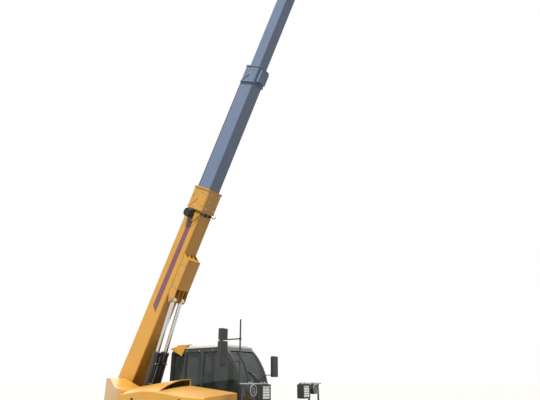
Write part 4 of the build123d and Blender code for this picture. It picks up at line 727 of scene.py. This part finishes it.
class TELEHANDLER_OT_hoses(bpy.types.Operator):
    """Cable loops at the boom's reel and hydraulic hoses on the boom's head and cylinders"""
    bl_idname = "telehandler.hoses"
    bl_label = "Hoses and cables"

    def execute(self, context):
        sizes = context.scene.telehandler_sizes
        corner = ON_BOOM @ at((0.0, -BASE["width"] / 2, -BASE["height"] / 2))
        loops = [
            [(4.03, -0.120, 0.194), (4.10, -0.130, 0.104), (4.075, -0.070, 0.009), (4.045, -0.018, -0.020),
             (4.045, 0.035, -0.040)],
            [(3.90, -0.060, 0.244), (3.80, -0.060, 0.219), (3.78, -0.045, 0.124), (3.88, -0.030, 0.044),
             (4.00, -0.016, 0.012), (4.045, 0.020, -0.030)],
            [(4.045, 0.035, -0.040), (4.00, 0.085, -0.030), (4.045, 0.160, -0.036), (4.010, 0.215, -0.026),
             (4.050, 0.280, -0.032), (4.055, 0.345, -0.018)],
        ]
        hose("reel_cable_loops", loops, sizes.cable_radius, "boom_base", corner)
        hook = [(4.060, 0.358, 0.050), (4.060, 0.390, 0.040), (4.040, 0.418, -0.005), (4.065, 0.426, -0.036),
                (4.100, 0.420, -0.030)]
        hose("cable_hook", [hook], 0.009, "boom_base", corner, finish="black_paint")
        fittings = [rod(0.024, (4.045, 0.035, 0.001), (4.045, 0.035, -0.044), 24, 0.005),
                    block((4.015, 0.130, -0.042), (4.080, 0.190, 0.001), 0.006),
                    block((4.025, 0.255, -0.038), (4.080, 0.305, 0.001), 0.006),
                    rod(0.016, (4.060, 0.359, 0.050), (4.060, 0.368, 0.050), 20, 0.002)]
        fittings += [bolt((s, -0.156, n), (0.0, -1.0, 0.0), 0.012)
                     for s, n in ((4.03, 0.274), (3.93, 0.274), (3.98, 0.324), (3.98, 0.224))]
        moulding("reel_fittings", fittings, "boom_base", corner)
        duct = [block((3.12, 0.013, -0.001), (7.158, 0.051, 0.030), 0.005)]
        for i in range(9):
            s = 3.30 + 0.46 * i
            duct.append(block((s - 0.018, 0.012, -0.001), (s + 0.018, 0.052, 0.033), 0.005))
            duct.append(rod(0.006, (s, 0.032, 0.032), (s, 0.032, 0.035), 6))
        corner = ON_BOOM @ at((0.0, -MIDDLE["width"] / 2, MIDDLE["height"] / 2))
        moulding("hose_duct", duct, "boom_middle", corner, replaces=("hose_rail",))
        tilt = [[(10.30, 0.040, 0.155), (10.42, 0.045, 0.185), (10.56, 0.060, 0.215), (10.66, 0.058, 0.120)],
                [(10.30, -0.040, 0.155), (10.42, -0.045, 0.190), (10.56, -0.060, 0.225), (10.72, -0.058, 0.060)]]
        hose("tilt_hoses", tilt, sizes.hose_radius, "boom_tip", ON_BOOM)
        pipes, clips = [], []
        for out in BOTH:
            middle = out * LIFT_Y
            for shift, length in ((0.026, 1.385), (-0.026, 0.30)):
                y = middle + out * shift
                pipes.append([(0.16, y, -0.088), (0.24, y, -0.098), (length - 0.10, y, -0.098), (length, y, -0.076)])
            for s in (0.42, 0.86, 1.26):
                clips.append(block((s - 0.014, middle - 0.045, -0.112), (s + 0.014, middle + 0.045, -0.076), 0.004))
                clips.append(bolt((s, middle, -0.112), (0.0, 0.0, -1.0), 0.013))
            clips += [bolt((1.470, middle + y, z), (1.0, 0.0, 0.0), 0.014) for y, z in ring(8, 0.066)]
        hose("lift_pipes", pipes, 0.008, "lift_barrels", ON_LIFT, "black_paint")
        screws("lift_clips", clips, "lift_barrels", ON_LIFT)
        return {"FINISHED"}


def seal(name, node, body, radius):
    """Rubber beads along the edges of a node's panes, taken from a merged copy of its mesh."""
    bm = bmesh.new()
    bm.from_mesh(frame["nodes"][node].data)
    bmesh.ops.remove_doubles(bm, verts=bm.verts, dist=0.0002)
    soft = [e for e in bm.edges if len(e.link_faces) != 2 or e.calc_face_angle(0.0) < radians(50.0)]
    bmesh.ops.delete(bm, geom=list(bm.faces), context="FACES_ONLY")
    bmesh.ops.delete(bm, geom=[e for e in soft if e.is_valid], context="EDGES")
    bmesh.ops.delete(bm, geom=[v for v in bm.verts if not v.link_edges], context="VERTS")
    raw = new_object(name + "_edges", bm)
    picked(raw)
    bpy.ops.object.convert(target="CURVE")
    raw.data.bevel_depth = radius
    raw.data.bevel_resolution = 2
    raw.data.use_fill_caps = True
    piece(name, mesh_of(raw), body, "seal_rubber", smooth=60.0)


def screen_point(share, y, proud=0.0):
    """A place on the windscreen's curve, from its foot at 0 to its top at 1."""
    foot, belly, top = complex(0.0, -0.760), complex(-0.148, -0.340), complex(-0.440, 0.0)
    w = (top - foot) / (belly - foot)
    middle = foot + (belly - foot) * (w - abs(w) ** 2) / (2j * w.imag)
    start, end = phase(foot - middle), phase(top - middle)
    place = middle + rect(abs(foot - middle) + proud, start + (end - start) * share)
    return Vector((CAB["front"] + place.real, y, CAB["top"] + place.imag))


class TELEHANDLER_OT_cab_trim(bpy.types.Operator):
    """Window seals, wiper, grab rail, roof beads and bolts on the cab"""
    bl_idname = "telehandler.cab_trim"
    bl_label = "Cab trim"

    def execute(self, context):
        radius = context.scene.telehandler_sizes.seal_radius
        seal("window_seals", "cab_glass", "chassis", radius)
        seal("door_window_seal", "cab_door_glass", "door", radius)
        left, right = CAB["left"], CAB["right"]
        y = right + 0.230
        arm = [screen_point(t, y + 0.10 * t, 0.004) for t in (-0.10, 0.05, 0.30, 0.50)]
        blade = [screen_point(t, y + 0.055, -0.002) for t in (0.16, 0.32, 0.52, 0.72, 0.86)]
        hose("wiper_arm", [arm], 0.006, finish="black_plastic")
        hose("wiper_blade", [blade, [p + Vector((-0.006, 0.0, -0.004)) for p in blade]], 0.005)
        foot = screen_point(-0.10, y - 0.010)
        motor = rod(0.026, foot - Vector((0.03, 0, 0.02)), foot + Vector((0.012, 0, 0.004)), 24, 0.004)
        moulding("wiper_motor", [motor])
        rail = [(RAIL_X, left + out, z) for out, z in ((-0.004, 1.505), (0.058, 1.500), (0.060, 1.58),
                                                       (0.060, 1.95), (0.058, 2.03), (-0.004, 2.025))]
        hose("grab_rail", [rail], 0.013, finish="black_paint")
        parts = [rod(0.026, (RAIL_X, left - 0.001, z), (RAIL_X, left + 0.006, z), 24, 0.002) for z in (1.505, 2.025)]
        parts += [bolt((x, side, 2.352), (0.0, out, 0.0), 0.016) for x in (-2.05, -1.70, -1.35, -1.00)
                  for side, out in ((right + 0.001, -1.0), (left - 0.001, 1.0))]
        parts += [bolt((x, left - 0.002, 1.425), (0.0, 1.0, 0.0), 0.016) for x in (-1.60, -1.45, -1.20)]
        screws("cab_bolts", parts)
        hose("roof_seals", [[(x, side, 2.402) for x in (-2.02, -1.40, -0.71)] for side in (left, right)], 0.005)
        lock = [block((-0.345, 1.139, 1.405), (-0.325, 1.141, 1.425)),
                rod(0.012, (-0.372, 1.120, 1.470), (-0.372, 1.1395, 1.470), 20, 0.002)]
        screws("door_lock", lock, "door")
        return {"FINISHED"}


class TELEHANDLER_OT_cab_controls(bpy.types.Operator):
    """Pedals, display, joystick, switches and the steering wheel's grip inside the cab"""
    bl_idname = "telehandler.cab_controls"
    bl_label = "Cab controls"

    def execute(self, context):
        console = at((CONSOLE_X, SEAT.y, CAB["floor"]))
        parts = []
        for y, wide in ((-0.13, 0.075), (0.02, 0.090), (0.14, 0.060)):
            pad = [block((-0.045, -wide / 2, -0.006), (0.045, wide / 2, 0.006), 0.004)]
            pad += [block((-0.036, -wide / 2 + 0.008 + k, 0.005), (0.036, -wide / 2 + 0.014 + k, 0.010), 0.0015)
                    for k in (0.0, wide / 2 - 0.012, wide - 0.024)]
            parts.append(joined(pad, at((-0.235, y, 0.10), -0.9)))
            parts.append(rod(0.009, (-0.225, y, 0.09), (-0.135, y, 0.15), 12, 0.002))
        moulding("pedals", parts, matrix=console)
        slope = console @ at((-0.070, 0.0, 0.5255), atan2(0.070, 0.140))
        dash = [block((-0.062, -0.105, -0.002), (0.062, 0.105, 0.012), 0.004)]
        dash += [block((x, y, -0.002), (x + 0.024, y + 0.025, 0.010), 0.003)
                 for x in (-0.050, -0.016, 0.018) for y in (0.125, 0.161)]
        dash += [rod(0.012, (x, -0.150, -0.002), (x, -0.150, 0.014), 20, 0.003) for x in (-0.030, 0.004, 0.038)]
        moulding("dash_panel", dash, matrix=slope, finish="grey_plastic")
        glass = block((-0.052, -0.092, 0.0115), (0.052, 0.092, 0.0132), 0.0006)
        piece("dash_display", joined([glass], slope), "chassis", "teal_lens")
        grip = []
        for i in range(3):
            a = 2 * pi * (i + 0.25) / 3
            ends = [(0.165, cos(b) * 0.185, sin(b) * 0.185) for b in (a - 0.22, a + 0.22)]
            grip.append(rod(0.0165, *ends, 16, 0.004))
        grip.append(rod(0.040, (0.176, 0.0, 0.0), (0.186, 0.0, 0.0), 32, 0.004))
        moulding("steering_grips", grip, matrix=console @ at((-0.180, 0.0, 0.520), -radians(135.0)))
        knob = [rod(0.021, (0.0, 0.0, -0.004), (0.0, 0.0, 0.010), 24, 0.005)]
        knob += [rod(0.005, (x, y, 0.008), (x, y, 0.014), 12, 0.001)
                 for x, y in ((0.008, 0.0), (-0.006, 0.007), (-0.006, -0.007))]
        bellows = turned([(0.0, 0.030), (0.006, 0.024), (0.012, 0.028), (0.018, 0.021), (0.024, 0.025), (0.030, 0.017),
                          (0.036, 0.020), (0.042, 0.0125)], 32)
        bellows.transform(at((0.0, 0.0, -0.161), pi / 2, "X"))
        stick = at(SEAT + Vector((0.430, -0.275, 0.390)))
        moulding("joystick_fittings", [*knob, bellows], matrix=stick, finish="grey_plastic")
        return {"FINISHED"}


def padded(name, bm, cap, place, facing, seams):
    """A cushion of the seat: remeshed, swollen by a short cloth run, then sewn and smoothed."""
    obj = new_object(name, bm)
    scene = bpy.context.scene
    picked(obj)
    remesh = obj.modifiers.new("remesh", "REMESH")
    remesh.mode = "VOXEL"
    remesh.voxel_size = 0.006
    bpy.ops.object.modifier_apply(modifier="remesh")
    start = [v.co.copy() for v in obj.data.vertices]
    swell = obj.modifiers.new("swell", "CLOTH")
    swell.settings.use_pressure = True
    swell.settings.uniform_pressure_force = 4.0
    swell.settings.effector_weights.gravity = 0.0
    swell.settings.quality = 4
    swell.point_cache.frame_start = 1
    swell.point_cache.frame_end = SWELL_FRAMES
    for number in range(1, SWELL_FRAMES + 1):
        scene.frame_set(number)
    graph = bpy.context.evaluated_depsgraph_get()
    shape = obj.evaluated_get(graph).to_mesh()
    moved = [v.co.copy() for v in shape.vertices]
    obj.evaluated_get(graph).to_mesh_clear()
    obj.modifiers.remove(swell)
    scene.frame_set(1)
    for vertex, old, new in zip(obj.data.vertices, start, moved):
        step = new - old
        vertex.co = old + step * min(1.0, cap / max(step.length, 1e-6))
    bm = bmesh.new()
    bm.from_mesh(obj.data)
    for _ in range(3):
        bmesh.ops.smooth_vert(bm, verts=bm.verts, factor=0.5, use_axis_x=True, use_axis_y=True, use_axis_z=True)
    bm.to_mesh(obj.data)
    bm.free()
    sew(obj, place, facing, seams)
    smooth = obj.modifiers.new("smooth", "SUBSURF")
    smooth.levels = smooth.render_levels = 1
    obj.data.shade_smooth()
    obj.data.materials.append(FINISHES["seat_cloth"])
    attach(obj, "chassis")
    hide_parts("driver_seat")


def sew(obj, place, facing, seams, depth=0.007, width=0.009):
    """Presses sewn channels into the side of a cushion that faces a direction, each across an axis."""
    inverse, outward = place.inverted(), place.to_3x3() @ Vector(facing)
    for vertex in obj.data.vertices:
        turn = vertex.normal.dot(outward)
        if turn > 0.25:
            local = inverse @ vertex.co
            near = max(exp(-((local[axis] - seam) / width) ** 2) for axis, seam in seams)
            vertex.co -= outward * depth * near * turn


class TELEHANDLER_OT_seat(bpy.types.Operator):
    """The sprung driver's seat with its padded cushion, back and headrest"""
    bl_idname = "telehandler.seat"
    bl_label = "Padded seat"

    def execute(self, context):
        x, y, z = SEAT
        top = z + 0.140
        cushion = block((x - 0.008, y - 0.218, z + 0.012), (x + 0.488, y + 0.218, top - 0.012), 0.030, 3)
        for s in BOTH:
            add(cushion, block((x + 0.010, y + s * 0.150, top - 0.050), (x + 0.470, y + s * 0.216, top + 0.004),
                               0.022, 3))
        padded("seat_cushion", cushion, 0.010, at((x, y, top)), (0.0, 0.0, 1.0),
               ((0, 0.11), (0, 0.20), (0, 0.29), (0, 0.38), (1, -0.140), (1, 0.140)))
        back = block((-0.052, -0.190, 0.018), (0.046, 0.190, 0.500), 0.030, 3)
        for s in BOTH:
            add(back, block((-0.046, s * 0.128, 0.060), (0.066, s * 0.196, 0.470), 0.024, 3))
        add(back, block((-0.040, -0.120, 0.520), (0.040, 0.120, 0.635), 0.026, 3))
        for s in BOTH:
            add(back, rod(0.012, (0.0, s * 0.050, 0.490), (0.0, s * 0.050, 0.530), 16))
        lean = at((x + 0.048, y, top - 0.025), -atan2(0.072, 0.660))
        back.transform(lean)
        padded("seat_back", back, 0.009, lean, (1.0, 0.0, 0.0),
               ((2, 0.10), (2, 0.19), (2, 0.28), (2, 0.37), (1, -0.126), (1, 0.126)))
        shell = [block((x - 0.016, y + s * 0.224, z + 0.02), (x + 0.30, y + s * 0.230, z + 0.085), 0.002) for s in BOTH]
        shell += [rod(0.012, (x + 0.02, y - s * 0.2275, z + 0.11), (x + 0.02, y - s * 0.2275, z + 0.17), 16, 0.003)
                  for s in BOTH]
        moulding("seat_side_shells", shell)
        return {"FINISHED"}


class TELEHANDLER_OT_hood_fittings(bpy.types.Operator):
    """Latches, screws and the seam's seal on the hood"""
    bl_idname = "telehandler.hood_fittings"
    bl_label = "Hood fittings"

    def execute(self, context):
        y, parting = -HOOD["outer"], HOOD["parting"]
        catches, hooks = [], []
        for x in (-1.62, -0.45):
            for parts, half, front, back, low, high, edge in (
                    (catches, 0.030, 0.010, 0.0005, 0.006, 0.050, 0.004),
                    (catches, 0.012, 0.020, 0.009, 0.012, 0.040, 0.004),
                    (hooks, 0.018, 0.008, 0.0005, -0.045, -0.006, 0.003)):
                parts.append(block((x - half, y - front, parting + low), (x + half, y - back, parting + high), edge))
        moulding("hood_catches", catches, "hood_lid")
        hooks += [bolt((x, y, HOOD["floor"] + 0.022), (0.0, -1.0, 0.0), 0.014)
                  for x in (-1.90, -1.45, -1.00, -0.55, -0.10)]
        hooks += [bolt((x, y, z), (0.0, -1.0, 0.0), 0.016)
                  for x in (BAY["rear"] + 0.05, BAY["front"] - 0.05) for z in (0.66, 0.86, 1.06, 1.26)]
        screws("hood_hooks", hooks)
        seam = [(x, y - 0.0005, parting) for x in (HOOD["rear"] - 0.002, -1.0, HOOD["front"] + 0.002)]
        hose("hood_seal", [seam], 0.004)
        return {"FINISHED"}


class TELEHANDLER_OT_lamps(bpy.types.Operator):
    """Lenses, reflectors and bezels of the head lamps and tail lamps"""
    bl_idname = "telehandler.lamps"
    bl_label = "Lamps"

    def execute(self, context):
        front = LAMP_X + 0.070
        rear, low, high = TAIL["rear"] + 0.004, TAIL["top"] - 0.210, TAIL["top"] - 0.120
        dome = [(-0.004, 0.070), (0.002, 0.072), (0.008, 0.062), (0.013, 0.044), (0.016, 0.022), (0.017, 0.0)]
        bezel = [(0.0, 0.073), (0.0, 0.0845), (0.006, 0.0845), (0.009, 0.080), (0.006, 0.073), (0.0, 0.073)]
        for side, s in SIDES:
            lamp = at((front, s * LAMP_Y, BAR_Z - 0.1175))
            cells = [block((-0.0105, y - 0.0155, z - 0.016), (-0.003, y + 0.0155, z + 0.016), 0.0035)
                     for y in (-0.075, -0.0375, 0.0, 0.0375, 0.075) for z in (-0.077, -0.0385, 0.0, 0.0385, 0.077)]
            piece(f"lamp_cells_{side}", joined(cells, lamp), "chassis", "white_cell")
            rim = [block((-0.004, y0, z0), (0.003, y1, z1), 0.0025)
                   for y0, z0, y1, z1 in ((-0.113, -0.1155, 0.113, -0.100), (-0.113, 0.100, 0.113, 0.1155),
                                          (-0.113, -0.1155, -0.098, 0.1155), (0.098, -0.1155, 0.113, 0.1155))]
            moulding(f"lamp_bezel_{side}", rim, matrix=lamp)
            for name, outline, depth, slot, finish in (("lens", dome, 0.021, "lamp_glass", "teal_lens"),
                                                       ("bezel", bezel, 0.0105, "chrome_rod", "zinc")):
                bm = turned(outline, 48)
                bm.transform(at((front - depth, s * ROUND_Y, BAR_Z - 0.085), -pi / 2, "Z"))
                piece(f"round_{name}_{side}", bm, "chassis", finish)
            strip = block((LAMP_X + 0.0125, s * 0.500, BAR_Z + 0.0025), (LAMP_X + 0.0155, s * 1.195, BAR_Z + 0.0175),
                          0.001)
            piece(f"lamp_bar_strip_{side}", strip, "chassis", "pale_paint")
            screws(f"lamp_bolts_{side}", [bolt((LAMP_X, s * v, BAR_Z + 0.020), (0.0, 0.0, 1.0), 0.018)
                                          for v in (0.560, 0.650, 0.900, 0.960)])
            for k, finish in enumerate(("amber_lens", "red_lens", "clear_lens")):
                inner = 0.724 + TAIL_LENS * k
                cover = block((rear - 0.0035, s * (inner + 0.005), low),
                              (rear + 0.001, s * (inner + TAIL_LENS - 0.005), high), 0.002)
                piece(f"tail_{finish}_{side}", cover, "chassis", finish)
        return {"FINISHED"}


class TELEHANDLER_OT_mirrors(bpy.types.Operator):
    """Mirror faces and their clamps on the pole"""
    bl_idname = "telehandler.mirrors"
    bl_label = "Mirrors"

    def execute(self, context):
        right = [block((0.4038, -1.203, 2.004), (0.4058, -1.047, 2.361), 0.0005),
                 block((0.4038, -1.195, 2.401), (0.4058, -1.055, 2.553), 0.0005)]
        left = [block((-0.1612, 1.034, 1.874), (-0.1592, 1.186, 2.236), 0.0005)]
        for name, faces in (("mirror_faces_right", right), ("mirror_face_left", left)):
            piece(name, joined(faces), "chassis", "mirror_face")
        clamps = []
        for z in (2.059, 2.382):
            clamps.append(rod(0.020, (0.850, -1.197, z - 0.016), (0.850, -1.197, z + 0.016), 24, 0.004))
            clamps.append(bolt((0.850, -1.217, z), (0.0, -1.0, 0.0), 0.012, False))
        moulding("mirror_clamps", clamps)
        return {"FINISHED"}


class TELEHANDLER_OT_tail(bpy.types.Operator):
    """Bolts and lifting eyes on the counterweight"""
    bl_idname = "telehandler.tail"
    bl_label = "Tail fittings"

    def execute(self, context):
        rear, top = TAIL["rear"], TAIL["top"]
        parts = []
        for y in (-0.62, -0.42, 0.42, 0.62):
            for z in (0.72, 0.98):
                parts.append(rod(0.027, (rear + 0.004, y, z), (rear - 0.003, y, z), 32, 0.003))
                parts.append(rod(0.012, (rear + 0.001, y, z), (rear - 0.004, y, z), 6, 0.001))
        for y in (-0.80, 0.80):
            parts.append(rod(0.016, (rear + 0.16, y, top - 0.01), (rear + 0.16, y, top + 0.05), 20, 0.003))
            eye = turned([(-0.012, 0.030), (-0.012, 0.052), (0.012, 0.052), (0.012, 0.030), (-0.012, 0.030)], 40)
            eye.transform(at((rear + 0.16, y, top + 0.085)))
            parts.append(eye)
        screws("tail_bolts", parts)
        return {"FINISHED"}


class TELEHANDLER_OT_carriage(bpy.types.Operator):
    """Bolts, fork catches and pin plates on the fork carriage"""
    bl_idname = "telehandler.carriage"
    bl_label = "Fork carriage fittings"

    def execute(self, context):
        parts = []
        for y in BOTH:
            parts.append(block((-0.016, y * 0.170, -0.055), (0.016, y * 0.178, 0.055), 0.002))
            parts += [bolt((0.0, y * 0.178, z), (0.0, y, 0.0), 0.016) for z in (-0.040, 0.040)]
            fork = y * 0.290
            parts.append(rod(0.017, (0.276, fork, 0.315), (0.298, fork, 0.315), 24, 0.003))
            parts.append(rod(0.005, (0.292, fork - 0.034, 0.315), (0.292, fork + 0.034, 0.315), 12, 0.002))
            parts += [bolt((0.200, y * out, z), (1.0, 0.0, 0.0), 0.022)
                      for z in (-0.345, 0.295) for out in (0.14, 0.42, 0.48)]
        screws("carriage_bolts", parts, "carriage", at(CARRIAGE_PIN))
        return {"FINISHED"}


class TELEHANDLER_OT_chassis_fittings(bpy.types.Operator):
    """Bolts, pins and step studs on the chassis, fenders and stabilizers"""
    bl_idname = "telehandler.chassis_fittings"
    bl_label = "Chassis fittings"

    def execute(self, context):
        parts = []
        for y in BOTH:
            parts += [bolt((x, y * 0.300, z), (0.0, y, 0.0), 0.026) for x in (-0.28, 0.05, 0.85, 1.10)
                      for z in (0.70, 0.95)]
            for x in AXLE_X.values():
                for dx in (-0.62, -0.40, 0.40, 0.62):
                    up = sqrt(FENDER["radius"] ** 2 - dx * dx)
                    if AXLE_Z + up < 1.33:
                        parts.append(bolt((x + dx, y * (FENDER["outer"] - 0.055), AXLE_Z + up), (dx, 0.0, up), 0.016))
        screws("chassis_bolts", parts)
        studs = []
        for z in (0.520, 0.720):
            for i in range(7):
                for j in range(3):
                    x, y = -1.000 + 0.070 * i, 0.900 + 0.070 * j
                    studs.append(rod(0.013, (x, y, z + 0.0245), (x, y, z + 0.0300), 16, 0.002))
        piece("step_studs", joined(studs), "chassis", "zinc")
        for side, s in SIDES:
            screws(f"stabilizer_pins_{side}", [rod(r, (1.222, s * y, z), (1.232, s * y, z), 28, 0.003)
                                               for y, z, r in ((0.240, 0.620, 0.036), (0.180, 0.960, 0.030))])
        return {"FINISHED"}


OPERATORS = (
    TELEHANDLER_OT_finishes, TELEHANDLER_OT_stage, TELEHANDLER_OT_tyres, TELEHANDLER_OT_wheel_nuts,
    TELEHANDLER_OT_boom_fittings, TELEHANDLER_OT_hoses, TELEHANDLER_OT_cab_trim, TELEHANDLER_OT_cab_controls,
    TELEHANDLER_OT_seat, TELEHANDLER_OT_hood_fittings, TELEHANDLER_OT_lamps, TELEHANDLER_OT_mirrors,
    TELEHANDLER_OT_tail, TELEHANDLER_OT_carriage, TELEHANDLER_OT_chassis_fittings,
)


class TELEHANDLER_PT_panel(bpy.types.Panel):
    """Lists the machine's pieces, sizes and colours"""
    bl_label = "Telehandler"
    bl_idname = "TELEHANDLER_PT_panel"
    bl_space_type = "VIEW_3D"
    bl_region_type = "UI"
    bl_category = "Telehandler"

    def draw(self, context):
        for group in (context.scene.telehandler_colours, context.scene.telehandler_sizes):
            for name in group.__annotations__:
                self.layout.prop(group, name)
        for operator in OPERATORS:
            self.layout.operator(operator.bl_idname)


CLASSES = (TelehandlerColours, TelehandlerSizes, *OPERATORS, TELEHANDLER_PT_panel)


def register():
    for cls in CLASSES:
        bpy.utils.register_class(cls)
    bpy.types.Scene.telehandler_colours = bpy.props.PointerProperty(type=TelehandlerColours)
    bpy.types.Scene.telehandler_sizes = bpy.props.PointerProperty(type=TelehandlerSizes)


def unregister():
    del bpy.types.Scene.telehandler_sizes
    del bpy.types.Scene.telehandler_colours
    for cls in reversed(CLASSES):
        bpy.utils.unregister_class(cls)


def main():
    register()
    for operator in OPERATORS:
        group, name = operator.bl_idname.split(".")
        getattr(getattr(bpy.ops, group), name)()


if __name__ == "__main__":
    main()
